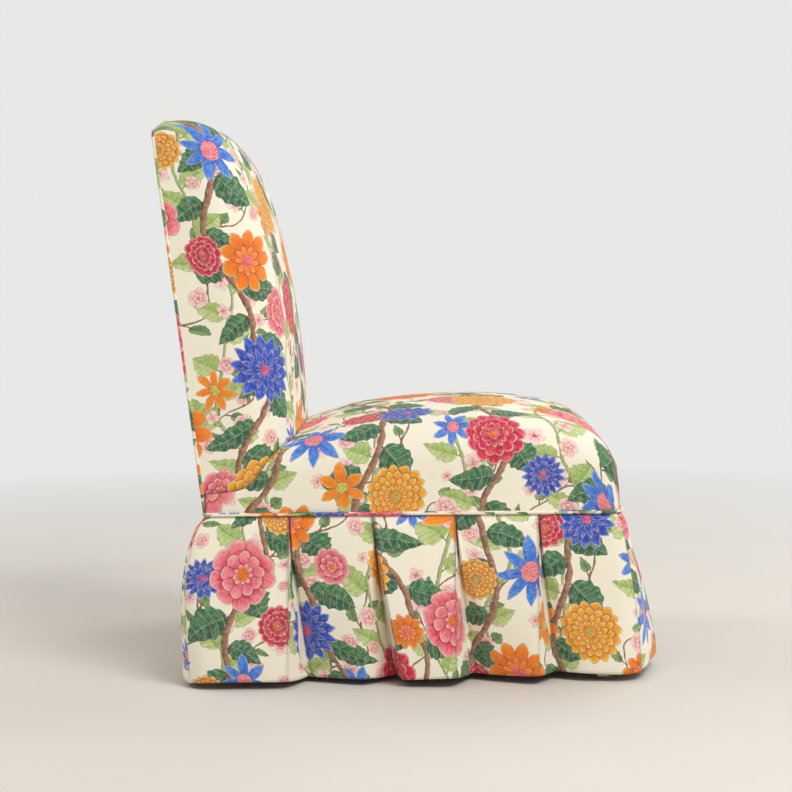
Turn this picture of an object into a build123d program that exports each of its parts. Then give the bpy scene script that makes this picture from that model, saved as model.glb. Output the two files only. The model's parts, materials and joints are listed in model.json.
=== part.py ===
from build123d import *
import os
from math import atan2, cos, degrees, hypot, pi, radians, sin, sqrt

# Armless upholstered slipper chair with a box-pleated skirt, in millimetres.
# The chair faces -Y, +Z is up, and the origin is on the floor under the middle of its outline.

# Seat, measured over the cover
seat_width = 570.0
seat_front = -340.0
seat_rear = 304.0
seat_crown_height = 434.0
skirt_head_height = 262.0
front_corner_radius = 30.0
seat_tail_padding = 6.0
seat_shoulder_share = 0.38
seat_bulge_share = 0.11

# Back, measured over the cover along its raked rear face
back_length = 614.0
back_rear_edge = 602.0
back_thickness = 168.0
back_rake = 7.0
back_corner_radius = 30.0
back_rear_corner_radius = 22.0
back_shoulder_radius = 85.0
back_shoulder_limit = 0.5
back_bulge_share = 0.09

# Soft layers
cover_thickness = 2.0
sheet_thickness = 1.2
soft_gap = 0.3
cover_overlap = 12.0
frame_inset = 4.0

# Timber frame
rail_thickness = 25.0
rail_height = 96.0
rail_stand = 24.0
leg_width = 40.0
leg_foot_width = 33.0
post_width = 32.0
post_depth = 45.0
post_top_margin = 62.0
top_rail_height = 55.0
stuffing_rail_height = 45.0
stuffing_rail_start = 62.0
back_rail_depth = 25.0
frame_gap = 0.1
corner_block_leg = 72.0
corner_block_height = 44.0
corner_block_drop = 14.0

# Fasteners and feet
dowel_diameter = 8.0
dowel_length = 48.0
dowel_clearance = 0.1
side_dowel_rises = (19.0, 56.0)
end_dowel_rises = (37.5, 74.0)
back_dowel_margin = 13.0
screw_shank_diameter = 4.5
screw_head_diameter = 9.0
screw_length = 60.0
screw_clearance = 0.1
screw_spacing = 20.0
glide_diameter = 26.0
glide_height = 6.0
glide_rim = 1.5

# Zigzag springs and the sheets above them
spring_count = 5
spring_wire_diameter = 3.8
spring_width = 50.0
spring_bend_radius = 10.0
spring_pitch = 96.0
spring_end_inset = 12.0
clip_sheet = 1.2
clip_width = 18.0
clip_length = 14.0
canvas_margin = 8.0

# Webbing in the back
web_width = 50.0
web_thickness = 1.6
upright_web_count = 3
cross_web_count = 4

# Piping
piping_diameter = 6.0
piping_gap = 0.5

# Skirt
skirt_thickness = 1.8
skirt_proud = 2.0
skirt_hem_height = 8.0
pleat_slit_half_width = 1.5
pleat_slit_depth = 1.6
side_box_count = 5
end_box_count = 4
rear_corner_radius = 8.0
hem_corner_radius = 50.0
mitre_gap = 0.6
lining_thickness = 0.9
lining_drop_share = 0.95
tack_strip_height = 20.0
tack_strip_thickness = 1.2

# How far the hem stands out from the skirt head at the corners: along the sides, front and rear
side_hem_out_at_front = 12.0
side_hem_out_at_rear = 45.0
front_hem_out = 36.0
rear_hem_out = 38.0

# Where the falling cloth bends, as a share of the drop, and the share of its flare that each side has there
bell_share = 0.3
side_bell = 0.4
front_bell = 0.45
rear_bell = 0.75

# Where the hem's front lip, valley and rear lip lie from each pleat's slit, and how far each stands out
pleat_lip_shift = (-46.0, -31.0, 16.0)
side_hem_folds = ((8.0, 3.0, 33.0), (11.0, 3.0, 47.0), (38.0, 4.0, 26.0), (9.0, 4.0, 45.0))
front_hem_folds = ((42.0, 4.0, 46.0), (44.0, 3.0, 46.0), (46.0, 4.0, 40.0))
rear_hem_folds = ((34.0, 3.0, 40.0), (38.0, 4.0, 36.0), (30.0, 3.0, 38.0))

# Dust cover and its staples
dust_cover_margin = 10.0
dust_cover_clearance = 1.0
staple_crown = 11.0
staple_wire = 1.0
staples_per_side = 6

# Places worked out from the sizes above
half_width = seat_width / 2
seat_depth = seat_rear - seat_front
seat_middle = (seat_front + seat_rear) / 2
seat_rise = seat_crown_height - skirt_head_height
rail_top = skirt_head_height + rail_stand
rail_bottom = rail_top - rail_height
foam_inset = cover_thickness + soft_gap
frame_half_width = half_width - frame_inset
frame_front = seat_front + frame_inset
frame_rear = seat_rear - frame_inset
rail_inner_x = frame_half_width - rail_thickness
front_rail_inner = frame_front + rail_thickness
rear_rail_inner = frame_rear - rail_thickness
leg_inner_x = frame_half_width - leg_width
leg_rear = frame_front + leg_width
post_inner_x = frame_half_width - post_width
post_length = back_length - post_top_margin
wire_radius = spring_wire_diameter / 2
spring_height = rail_top + clip_sheet + frame_gap + wire_radius
clip_height = spring_wire_diameter + 2 * clip_sheet + 2 * frame_gap
canvas_bottom = rail_top + clip_height + frame_gap
foam_bottom = canvas_bottom + sheet_thickness + soft_gap
seat_tail_height = foam_bottom + seat_tail_padding
piping_radius = piping_diameter / 2

rake = radians(back_rake)
back_up = Vector(0, sin(rake), cos(rake))
back_forward = Vector(0, -cos(rake), sin(rake))
back_foot = Vector(0, seat_rear, skirt_head_height)
post_face = frame_inset + post_depth
kink_rise = (rail_top - skirt_head_height - post_face * sin(rake)) / cos(rake)
post_front = seat_rear + kink_rise * sin(rake) - post_face * cos(rake)

os.makedirs("parts", exist_ok=True)


def write(piece, label):
    """Labels a finished piece and writes it to its own file."""
    piece.part.label = label
    export_step(piece.part, f"parts/{label}.step")


def across_back(height):
    """The plane that cuts the back square at this height along it, with its Y forwards."""
    return Plane(origin=back_foot + back_up * height, x_dir=(1, 0, 0), z_dir=-back_up)


def along_back(depth):
    """The plane parallel to the rear face, this far forward of it, with its Y up the back."""
    return Plane(origin=back_foot + back_forward * depth, x_dir=(1, 0, 0), z_dir=back_forward)


# Crowned forms

# Share of the seat's depth behind its front, and share of the way from the tail's height to the crown there
seat_stations = (
    (0.0, 0.14),
    (0.005, 0.335),
    (0.015, 0.455),
    (0.032, 0.59),
    (0.065, 0.745),
    (0.14, 0.905),
    (0.31, 1.0),
    (0.50, 0.97),
    (0.65, 0.872),
    (0.76, 0.705),
    (0.86, 0.358),
    (0.93, 0.10),
    (1.0, 0.0),
)

# Share of the back's length, share of its thickness there, and how far the domed top draws in from the rear
back_stations = (
    (0.0, 0.855, 0.0),
    (0.10, 0.92, 0.0),
    (0.20, 0.965, 0.0),
    (0.32, 0.99, 0.0),
    (0.45, 1.0, 0.0),
    (0.565, 0.985, 0.0),
    (0.675, 0.945, 0.0),
    (0.765, 0.90, 0.0),
    (0.845, 0.83, 0.0),
    (0.905, 0.745, 0.0),
    (0.95, 0.645, 0.0),
    (0.9735, 0.55, 0.0),
    (0.99, 0.41, 4.0),
    (0.9965, 0.30, 10.0),
    (1.0, 0.215, 20.0),
)


def crowned_section(width, base, crown, shoulder, bulge):
    """Face with a flat base, upright sides, round shoulders and a crown tangent to them."""
    side_top = crown - shoulder - bulge
    flat = width - shoulder
    crown_radius = ((shoulder + bulge) ** 2 - shoulder**2 + flat**2) / (2 * bulge)
    turn = atan2(side_top - crown + crown_radius, flat)
    mid = (flat + shoulder * cos(turn / 2), side_top + shoulder * sin(turn / 2))
    join = (flat + shoulder * cos(turn), side_top + shoulder * sin(turn))
    with BuildLine() as outline:
        Line((-width, base), (width, base))
        Line((width, base), (width, side_top))
        ThreePointArc((width, side_top), mid, join)
        ThreePointArc(join, (0, crown), (-join[0], join[1]))
        ThreePointArc((-join[0], join[1]), (-mid[0], mid[1]), (-width, side_top))
        Line((-width, side_top), (-width, base))
    make_face(outline.edges())


def rounded_half_width(distance, radius):
    """Half the width of a plan with round corners, at this distance from its end."""
    if distance >= radius:
        return half_width
    return half_width - radius + sqrt(radius**2 - (radius - distance) ** 2)


def smoothed(stations):
    """The stations with one more between each pair, on a curve that never overshoots them."""
    slopes = []
    for index in range(len(stations)):
        before = stations[max(index - 1, 0)]
        after = stations[min(index + 1, len(stations) - 1)]
        slopes.append([(b - a) / 2 for a, b in zip(before, after)])
    points = [stations[0]]
    for index in range(len(stations) - 1):
        start, end = stations[index], stations[index + 1]
        middle = []
        for a, b, leave, arrive in zip(start, end, slopes[index], slopes[index + 1]):
            value = (a + b) / 2 + (leave - arrive) / 8
            middle.append(min(max(value, min(a, b)), max(a, b)))
        points += [tuple(middle), end]
    return points


def outward_normals(points):
    """Unit normals on the left of a profile, from each point's neighbours."""
    normals = []
    for index in range(len(points)):
        before = points[max(index - 1, 0)]
        after = points[min(index + 1, len(points) - 1)]
        along, rise = after[0] - before[0], after[1] - before[1]
        size = hypot(along, rise)
        normals.append((-rise / size, along / size))
    return normals


def seat_form(inset, base, rear):
    """The crowned seat as a solid, with its surfaces moved in by inset."""
    profile = [
        (seat_front + behind * seat_depth, seat_tail_height + share * (seat_crown_height - seat_tail_height))
        for behind, share in smoothed(seat_stations)
    ]
    normals = outward_normals(profile)
    with BuildPart() as form:
        for (y, crown), (out_y, out_z) in zip(profile, normals):
            height = crown - skirt_head_height
            at_y = rear if (y, crown) == profile[-1] else y - inset * out_y
            with BuildSketch(Plane.XZ.offset(-at_y)):
                crowned_section(
                    rounded_half_width(y - seat_front, front_corner_radius) - inset,
                    base,
                    crown - inset * out_z,
                    seat_shoulder_share * height - inset,
                    seat_bulge_share * height,
                )
        loft(ruled=True)
    return form.part


def back_form(inset, rear_depth, bottom):
    """The padded back as a solid, with its surfaces moved in by inset."""
    stations = smoothed(back_stations)
    profile = [(along * back_length, share * back_thickness) for along, share, _ in stations]
    normals = outward_normals(profile)
    with BuildPart() as form:
        for (height, depth), (out_up, out_forward), station in zip(profile, normals, stations):
            at_height = bottom if station == stations[0] else height - inset * out_up
            draw_in = station[2]
            shoulder = min(back_shoulder_radius, back_shoulder_limit * (depth - draw_in))
            with BuildSketch(across_back(at_height)):
                crowned_section(
                    rounded_half_width(back_length - height, back_corner_radius) - inset,
                    max(rear_depth, draw_in + inset) if draw_in else rear_depth,
                    depth - inset * out_forward,
                    shoulder - inset,
                    back_bulge_share * (depth - draw_in),
                )
        loft(ruled=True)
    return form.part


# Timber frame

dowel_rows_low = [rail_bottom + rise for rise in side_dowel_rises]
dowel_rows_high = [rail_bottom + rise for rise in end_dowel_rises]
rail_centre_x = frame_half_width - rail_thickness / 2
along_x = (0, 90, 0)
along_y = (90, 0, 0)

frame_dowels = []
for side in (-1, 1):
    for row in dowel_rows_high:
        front_y = frame_front + rail_thickness / 2
        rear_y = frame_rear - rail_thickness / 2
        frame_dowels.append(Location((side * leg_inner_x, front_y, row), along_x))
        frame_dowels.append(Location((side * post_inner_x, rear_y, row), along_x))
    for row in dowel_rows_low:
        frame_dowels.append(Location((side * rail_centre_x, leg_rear, row), along_y))
        frame_dowels.append(Location((side * rail_centre_x, post_front, row), along_y))

top_rail_start = post_length - top_rail_height
back_rail_front = post_face - frame_gap
back_rail_centre = back_rail_front - back_rail_depth / 2
back_dowel_rows = []
for start, height in ((top_rail_start, top_rail_height), (stuffing_rail_start, stuffing_rail_height)):
    back_dowel_rows += [start + back_dowel_margin, start + height - back_dowel_margin]
back_dowels = []
for side in (-1, 1):
    for row in back_dowel_rows:
        centre = back_foot + back_up * row + back_forward * back_rail_centre
        back_dowels.append(Location((side * post_inner_x, centre.Y, centre.Z), along_x))


def dowel_rods(places, grow=0.0, mode=Mode.ADD):
    """Round dowels at these places, or their holes when grown and subtracted."""
    with Locations(*places):
        Cylinder(dowel_diameter / 2 + grow, dowel_length + 2 * grow, mode=mode)


def corner_block_outline(side, end):
    """Plan of one corner block, notched round its leg, starting with the ends of its long face."""
    leg_x, leg_y, rail_y = (leg_inner_x, leg_rear, front_rail_inner)
    if end > 0:
        leg_x, leg_y, rail_y = (post_inner_x, post_front, rear_rail_inner)
    inner_x = rail_inner_x - frame_gap
    inner_y = rail_y - end * frame_gap
    clear_x = leg_x - frame_gap
    clear_y = leg_y - end * frame_gap
    return (
        (side * inner_x, clear_y - end * corner_block_leg),
        (side * (clear_x - corner_block_leg), inner_y),
        (side * clear_x, inner_y),
        (side * clear_x, clear_y),
        (side * inner_x, clear_y),
    )


def corner_screw_places(side, end):
    """Places of one corner block's screws, from the middle of its long face into the leg."""
    outline = corner_block_outline(side, end)
    middle = rail_top - corner_block_drop - corner_block_height / 2
    start = (Vector(*outline[0]) + Vector(*outline[1])) / 2
    heading = Vector(*outline[3]) - start
    return [
        Plane(origin=(start.X, start.Y, middle + lift), z_dir=(heading.X, heading.Y, 0)).location
        for lift in (-screw_spacing / 2, screw_spacing / 2)
    ]


screw_places = [place for side in (-1, 1) for end in (-1, 1) for place in corner_screw_places(side, end)]


def screws(grow=0.0, mode=Mode.ADD):
    """Countersunk screws at every corner block, or their holes when grown and subtracted."""
    head_height = (screw_head_diameter - screw_shank_diameter) / 2
    with Locations(*screw_places):
        Cylinder(
            screw_shank_diameter / 2 + grow,
            screw_length + grow,
            align=(Align.CENTER, Align.CENTER, Align.MIN),
            mode=mode,
        )
        Cone(
            screw_head_diameter / 2 + grow,
            screw_shank_diameter / 2 + grow,
            head_height,
            align=(Align.CENTER, Align.CENTER, Align.MIN),
            mode=mode,
        )


def front_leg(side):
    """Square front leg, tapered on its two inner faces, with a round outer corner."""
    with BuildPart() as leg:
        corner = (side * frame_half_width, frame_front)
        for height, size in (
            (glide_height, leg_foot_width),
            (rail_bottom, leg_width),
            (rail_top, leg_width),
        ):
            with BuildSketch(Plane.XY.offset(height)):
                with Locations((corner[0] - side * size / 2, corner[1] + size / 2)):
                    Rectangle(size, size)
        loft(ruled=True)
        outer_edges = leg.edges().filter_by(Axis.Z).filter_by(
            lambda edge: abs(edge.center().X - corner[0]) < 1 and abs(edge.center().Y - corner[1]) < 1
        )
        fillet(outer_edges, front_corner_radius - frame_gap)
        dowel_rods(frame_dowels, dowel_clearance, Mode.SUBTRACT)
        screws(screw_clearance, Mode.SUBTRACT)
    return leg


def post_outline():
    """Side outline of a back post, as points (Y, Z): upright leg below, raked above."""
    rear_low = back_foot + back_forward * frame_inset
    rear_high = rear_low + back_up * post_length
    front_high = rear_high + back_forward * post_depth
    return (
        (post_front, glide_height),
        (frame_rear, glide_height),
        (frame_rear, skirt_head_height),
        (rear_high.Y, rear_high.Z),
        (front_high.Y, front_high.Z),
        (post_front, rail_top),
    )


def back_post(side):
    """Rear leg and back upright, cut from one board."""
    with BuildPart() as post:
        inner = Plane.YZ.offset(post_inner_x if side > 0 else -frame_half_width)
        with BuildSketch(inner):
            Polygon(*post_outline(), align=None)
        extrude(amount=post_width)
        dowel_rods(frame_dowels, dowel_clearance, Mode.SUBTRACT)
        dowel_rods(back_dowels, dowel_clearance, Mode.SUBTRACT)
        screws(screw_clearance, Mode.SUBTRACT)
    return post


def end_rail(inner_x, outer_y, direction):
    """Front or rear seat rail, between two legs."""
    with BuildPart() as rail:
        with BuildSketch(Plane.XY.offset(rail_bottom)):
            with Locations((0, outer_y + direction * rail_thickness / 2)):
                Rectangle(2 * (inner_x - frame_gap), rail_thickness)
        extrude(amount=rail_height)
        dowel_rods(frame_dowels, dowel_clearance, Mode.SUBTRACT)
    return rail


def side_rail(side):
    """Side seat rail, from the front leg to the back post."""
    with BuildPart() as rail:
        with BuildSketch(Plane.XY.offset(rail_bottom)):
            with Locations((side * rail_centre_x, (leg_rear + post_front) / 2)):
                Rectangle(rail_thickness, post_front - leg_rear - 2 * frame_gap)
        extrude(amount=rail_height)
        dowel_rods(frame_dowels, dowel_clearance, Mode.SUBTRACT)
    return rail


def back_rail(start, height):
    """Cross rail of the back, between the two posts."""
    with BuildPart() as rail:
        with BuildSketch(along_back(back_rail_front - back_rail_depth)):
            with Locations((0, start + height / 2)):
                Rectangle(2 * (post_inner_x - frame_gap), height)
        extrude(amount=back_rail_depth)
        dowel_rods(back_dowels, dowel_clearance, Mode.SUBTRACT)
    return rail


for side, hand in ((-1, "left"), (1, "right")):
    write(front_leg(side), f"front_leg_{hand}")
    write(back_post(side), f"back_post_{hand}")
    write(side_rail(side), f"{hand}_rail")

write(end_rail(leg_inner_x, frame_front, 1), "front_rail")
write(end_rail(post_inner_x, frame_rear, -1), "rear_rail")
write(back_rail(top_rail_start, top_rail_height), "back_top_rail")
write(back_rail(stuffing_rail_start, stuffing_rail_height), "back_stuffing_rail")

with BuildPart() as rail_dowels:
    dowel_rods(frame_dowels)
write(rail_dowels, "rail_dowels")

with BuildPart() as back_rail_dowels:
    dowel_rods(back_dowels)
write(back_rail_dowels, "back_rail_dowels")

with BuildPart() as corner_blocks:
    with BuildSketch(Plane.XY.offset(rail_top - corner_block_drop - corner_block_height)):
        for side in (-1, 1):
            for end in (-1, 1):
                Polygon(*corner_block_outline(side, end), align=None)
    extrude(amount=corner_block_height)
    screws(screw_clearance, Mode.SUBTRACT)
write(corner_blocks, "corner_blocks")

with BuildPart() as corner_block_screws:
    screws()
write(corner_block_screws, "corner_block_screws")

glide_places = [
    (side * (frame_half_width - leg_foot_width / 2), frame_front + leg_foot_width / 2) for side in (-1, 1)
] + [(side * (frame_half_width - post_width / 2), (post_front + frame_rear) / 2) for side in (-1, 1)]

with BuildPart() as leg_glides:
    with Locations(*glide_places):
        Cylinder(glide_diameter / 2, glide_height, align=(Align.CENTER, Align.CENTER, Align.MIN))
    chamfer(leg_glides.faces().sort_by(Axis.Z).group_by(Axis.Z)[0].edges(), glide_rim)
write(leg_glides, "leg_glides")


# Seat suspension

spring_start = frame_front + spring_end_inset
spring_end = frame_rear - spring_end_inset
spring_run = spring_width - 2 * spring_bend_radius
spring_turns = int((spring_end - spring_start) / (2 * spring_bend_radius))
spring_last = spring_start + spring_turns * 2 * spring_bend_radius
spring_columns = [(index - (spring_count - 1) / 2) * spring_pitch for index in range(spring_count)]


def zigzag_spring(centre):
    """One zigzag spring from the front rail to the rear rail, as an unbroken wire."""
    with BuildPart() as spring:
        half_run = spring_run / 2
        with BuildLine(Plane.XY.offset(spring_height)) as route:
            for turn in range(spring_turns + 1):
                y = spring_start + turn * 2 * spring_bend_radius
                way = 1 if turn % 2 == 0 else -1
                Line((centre - way * half_run, y), (centre + way * half_run, y))
                if turn < spring_turns:
                    ThreePointArc(
                        (centre + way * half_run, y),
                        (centre + way * (half_run + spring_bend_radius), y + spring_bend_radius),
                        (centre + way * half_run, y + 2 * spring_bend_radius),
                    )
        start = Plane(origin=(centre - half_run, spring_start, spring_height), z_dir=(1, 0, 0))
        with BuildSketch(start):
            Circle(wire_radius)
        sweep(path=route.wires()[0])
    return spring.part


with BuildPart() as zigzag_springs:
    for column in spring_columns:
        add(zigzag_spring(column))
write(zigzag_springs, "zigzag_springs")

with BuildPart() as spring_clips:
    slot_height = spring_wire_diameter + 2 * frame_gap
    for column in spring_columns:
        for y, mouth in ((spring_start, 1), (spring_last, -1)):
            with BuildSketch(Plane.YZ.offset(column - clip_width / 2)):
                with Locations((y, rail_top + clip_height / 2)):
                    Rectangle(clip_length, clip_height)
                with Locations((y + mouth * clip_sheet, rail_top + clip_height / 2)):
                    Rectangle(clip_length, slot_height, mode=Mode.SUBTRACT)
            extrude(amount=clip_width)
write(spring_clips, "spring_clips")

with BuildPart() as spring_canvas:
    canvas_front = frame_front + canvas_margin
    canvas_rear = post_front - canvas_margin
    with BuildSketch(Plane.XY.offset(canvas_bottom)):
        with Locations((0, (canvas_front + canvas_rear) / 2)):
            Rectangle(2 * (frame_half_width - canvas_margin), canvas_rear - canvas_front)
        fillet(vertices().sort_by(Axis.Y)[:2], front_corner_radius)
    extrude(amount=sheet_thickness)
write(spring_canvas, "spring_canvas")


# Seat upholstery

far_below = skirt_head_height - cover_overlap
far_behind = seat_rear + cover_overlap


def post_clearance(mode=Mode.SUBTRACT):
    """Slots that let both back posts pass, with the soft gap all round."""
    for side in (-1, 1):
        near = post_inner_x - soft_gap if side > 0 else -frame_half_width - soft_gap
        with BuildSketch(Plane.YZ.offset(near)) as slot:
            Polygon(*post_outline(), align=None)
            offset(amount=soft_gap, kind=Kind.INTERSECTION)
        extrude(slot.sketch, amount=post_width + 2 * soft_gap, mode=mode)


with BuildPart() as seat_cover:
    add(seat_form(0.0, skirt_head_height, seat_rear))
    add(seat_form(cover_thickness, far_below, far_behind), mode=Mode.SUBTRACT)
    post_clearance()
write(seat_cover, "seat_cover")

with BuildPart() as seat_foam:
    add(seat_form(foam_inset, skirt_head_height, seat_rear))
    with BuildSketch(Plane.YZ):
        with Locations((seat_front, foam_bottom)):
            Rectangle(post_front - canvas_margin - seat_front, seat_rise, align=Align.MIN)
    extrude(amount=half_width, both=True, mode=Mode.INTERSECT)
write(seat_foam, "seat_foam")


# Back upholstery

web_back = post_face + frame_gap
hessian_back = web_back + 2 * (web_thickness + frame_gap)
foam_back = hessian_back + sheet_thickness + soft_gap
seat_clearance = seat_form(-soft_gap, far_below, far_behind)
below_back = -cover_overlap

with BuildPart(along_back(web_back)) as back_cross_webs:
    span = top_rail_start - stuffing_rail_start - stuffing_rail_height
    first = stuffing_rail_start + stuffing_rail_height
    for index in range(cross_web_count):
        with Locations((0, first + (index + 0.5) * span / cross_web_count)):
            Box(
                2 * frame_half_width - 2 * frame_gap,
                web_width,
                web_thickness,
                align=(Align.CENTER, Align.CENTER, Align.MIN),
            )
write(back_cross_webs, "back_cross_webs")

with BuildPart(along_back(web_back + web_thickness + frame_gap)) as back_upright_webs:
    upright_length = post_length - stuffing_rail_start
    upright_pitch = 2 * post_inner_x / (upright_web_count + 1)
    for index in range(upright_web_count):
        across = (index - (upright_web_count - 1) / 2) * upright_pitch
        with Locations((across, stuffing_rail_start + upright_length / 2)):
            Box(
                web_width,
                upright_length,
                web_thickness,
                align=(Align.CENTER, Align.CENTER, Align.MIN),
            )
write(back_upright_webs, "back_upright_webs")

with BuildPart(along_back(hessian_back)) as back_hessian:
    with Locations((0, (stuffing_rail_start + post_length) / 2)):
        Box(
            2 * frame_half_width - 2 * frame_gap,
            post_length - stuffing_rail_start,
            sheet_thickness,
            align=(Align.CENTER, Align.CENTER, Align.MIN),
        )
write(back_hessian, "back_hessian")

with BuildPart() as back_foam:
    add(back_form(foam_inset, frame_inset, 0.0))
    with BuildSketch(along_back(0)):
        with Locations((0, post_length + soft_gap)):
            Rectangle(2 * seat_width, 2 * back_length, align=(Align.CENTER, Align.MAX))
    extrude(amount=foam_back, mode=Mode.SUBTRACT)
    add(seat_clearance, mode=Mode.SUBTRACT)
write(back_foam, "back_foam")

with BuildPart() as inside_back_cover:
    add(back_form(0.0, 0.0, 0.0))
    add(back_form(cover_thickness, -cover_overlap, below_back), mode=Mode.SUBTRACT)
    add(seat_clearance, mode=Mode.SUBTRACT)
write(inside_back_cover, "inside_back_cover")


def rear_panel(depth, thickness, margin, low):
    """Flat panel on the rear of the back, from a height up to round top corners."""
    with BuildPart() as panel:
        high = back_rear_edge - margin
        width = half_width - margin
        with BuildSketch(along_back(depth)):
            with Locations((0, (low + high) / 2)):
                Rectangle(2 * width, high - low)
            fillet(vertices().sort_by(Axis.Y)[-2:], back_rear_corner_radius - margin)
        extrude(amount=thickness)
    return panel


above_welt = piping_diameter + 2 * piping_gap + soft_gap
above_seat = seat_tail_height - skirt_head_height + 2 * frame_inset
lining_depth = cover_thickness + soft_gap
write(rear_panel(0.0, cover_thickness, foam_inset, above_welt), "outside_back_cover")
write(
    rear_panel(lining_depth, frame_inset - lining_depth - frame_gap, frame_inset, above_seat),
    "outside_back_lining",
)


# Piping

with BuildPart() as back_piping:
    piping_x = half_width - piping_radius
    piping_high = back_rear_edge - piping_radius
    with BuildLine(along_back(-piping_radius - piping_gap)) as piping_route:
        FilletPolyline(
            (-piping_x, above_welt),
            (-piping_x, piping_high),
            (piping_x, piping_high),
            (piping_x, above_welt),
            radius=back_rear_corner_radius - piping_radius,
        )
    with BuildSketch(Plane(piping_route.wires()[0] @ 0, z_dir=piping_route.wires()[0] % 0)):
        Circle(piping_radius)
    sweep(path=piping_route.wires()[0])
write(back_piping, "back_piping")

with BuildPart() as seat_welt:
    welt_out = piping_radius + piping_gap
    welt_height = skirt_head_height + piping_radius + piping_gap
    welt_x = half_width + welt_out
    front_turn = front_corner_radius + welt_out
    rear_turn = piping_radius + 3 * piping_gap
    with BuildLine(Plane.XY.offset(welt_height)) as welt_route:
        FilletPolyline(
            (0, seat_rear + welt_out),
            (-welt_x, seat_rear + welt_out),
            (-welt_x, seat_front - welt_out),
            (welt_x, seat_front - welt_out),
            (welt_x, seat_rear + welt_out),
            (mitre_gap, seat_rear + welt_out),
            radius=(rear_turn, front_turn, front_turn, rear_turn),
        )
    with BuildSketch(Plane(welt_route.wires()[0] @ 0, z_dir=welt_route.wires()[0] % 0)):
        Circle(piping_radius)
    sweep(path=welt_route.wires()[0])
write(seat_welt, "seat_welt")


# Skirt

skirt_top = skirt_head_height - piping_gap
skirt_drop = skirt_top - skirt_hem_height


def skirt_side_plane(side, height):
    """Plane at this height with its Y pointing out of one side of the chair."""
    origins = {
        "left": (-half_width, seat_middle),
        "right": (half_width, seat_middle),
        "front": (0, seat_front),
        "rear": (0, seat_rear),
    }
    along = {"left": (0, 1, 0), "right": (0, -1, 0), "front": (-1, 0, 0), "rear": (1, 0, 0)}
    x, y = origins[side]
    return Plane(origin=(x, y, height), x_dir=along[side], z_dir=(0, 0, 1))


# Each corner's radius at the head, then hem and bend of the side itself and of the side round the corner
side_ends = (
    (front_corner_radius, (side_hem_out_at_front, side_bell), (front_hem_out, front_bell)),
    (rear_corner_radius, (side_hem_out_at_rear, side_bell), (rear_hem_out, rear_bell)),
)
front_end = (front_corner_radius, (front_hem_out, front_bell), (side_hem_out_at_front, side_bell))
rear_end = (rear_corner_radius, (rear_hem_out, rear_bell), (side_hem_out_at_rear, side_bell))

# Each side's half length, corner turns at its two ends, number of boxes, hem folds, bend and hand
skirt_sides = {
    "left": (seat_depth / 2, side_ends, side_box_count, side_hem_folds, side_bell, 1),
    "right": (seat_depth / 2, side_ends, side_box_count, side_hem_folds, side_bell, -1),
    "front": (half_width, (front_end, front_end), end_box_count, front_hem_folds, front_bell, 1),
    "rear": (half_width, (rear_end, rear_end), end_box_count, rear_hem_folds, rear_bell, 1),
}


def flared(head_out, hem_out, bell, share):
    """How far the cloth stands out at a share of the drop, on a line that bends once on the way down."""
    if share <= bell_share:
        part_way = bell * share / bell_share
    else:
        part_way = bell + (1 - bell) * (share - bell_share) / (1 - bell_share)
    return head_out + part_way * (hem_out - head_out)


def corner_turn(half_length, end, share, inset, way):
    """Points on an eighth turn at one end: its mitre, its middle and where it meets the side."""
    head_radius, own_hem, next_hem = end
    radius = head_radius + skirt_proud + share * (hem_corner_radius - head_radius - skirt_proud)
    reach = half_length + flared(skirt_proud, *next_hem, share)
    out = flared(skirt_proud, *own_hem, share)
    gap_angle = mitre_gap / 2 / radius
    centre = (reach - radius, out - radius)
    points = []
    for angle in (pi / 4 + gap_angle, 3 * pi / 8, pi / 2):
        x = centre[0] + (radius - inset) * cos(angle)
        points.append((way * x, centre[1] + (radius - inset) * sin(angle)))
    return points


def pleat_points(half_length, boxes, folds, bell, share, inset):
    """Points along one side: each pleat's front lip, valley and rear lip."""
    points = []
    for index, lips in enumerate(folds):
        slit = -half_length + (index + 1) * 2 * half_length / boxes
        slit_shape = (
            (-pleat_slit_half_width, skirt_proud),
            (0.0, skirt_proud - pleat_slit_depth),
            (pleat_slit_half_width, skirt_proud),
        )
        for (head_shift, head_out), hem_shift, hem_out in zip(slit_shape, pleat_lip_shift, lips):
            shift = head_shift + share * (hem_shift - head_shift)
            out = flared(head_out, hem_out, bell, share)
            points.append((slit + shift, out - inset))
    return points


def skirt_outline(side, share, inset):
    """One side's plan line at a share of the drop: start turn, pleats and end turn."""
    half_length, ends, boxes, folds, bell, hand = skirt_sides[side]
    start = corner_turn(half_length, ends[0], share, inset, -1)
    end = corner_turn(half_length, ends[1], share, inset, 1)
    middle = pleat_points(half_length, boxes, folds, bell, share, inset)
    line = start + middle + end[::-1]
    return line if hand > 0 else [(-x, y) for x, y in line[::-1]]


def draw_skirt_line(line):
    """The plan line as an arc, straight lengths and an arc."""
    ThreePointArc(*line[:3])
    Polyline(*line[2:-2])
    ThreePointArc(*line[-3:])


def skirt_panel(side, inset, thickness, drop_share):
    """One side of the skirt, or of its lining, from the head down to a share of the drop."""
    with BuildPart() as panel:
        for share in (0.0, bell_share, drop_share):
            outer = skirt_outline(side, share, inset)
            inner = skirt_outline(side, share, inset + thickness)
            with BuildSketch(skirt_side_plane(side, skirt_top - share * skirt_drop)):
                with BuildLine():
                    draw_skirt_line(outer)
                    Line(outer[-1], inner[-1])
                    draw_skirt_line(inner)
                    Line(inner[0], outer[0])
                make_face()
        loft(ruled=True)
    return panel


lining_inset = skirt_thickness + soft_gap
for side in skirt_sides:
    write(skirt_panel(side, 0.0, skirt_thickness, 1.0), f"skirt_{side}")
    write(skirt_panel(side, lining_inset, lining_thickness, lining_drop_share), f"skirt_lining_{side}")

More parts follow.
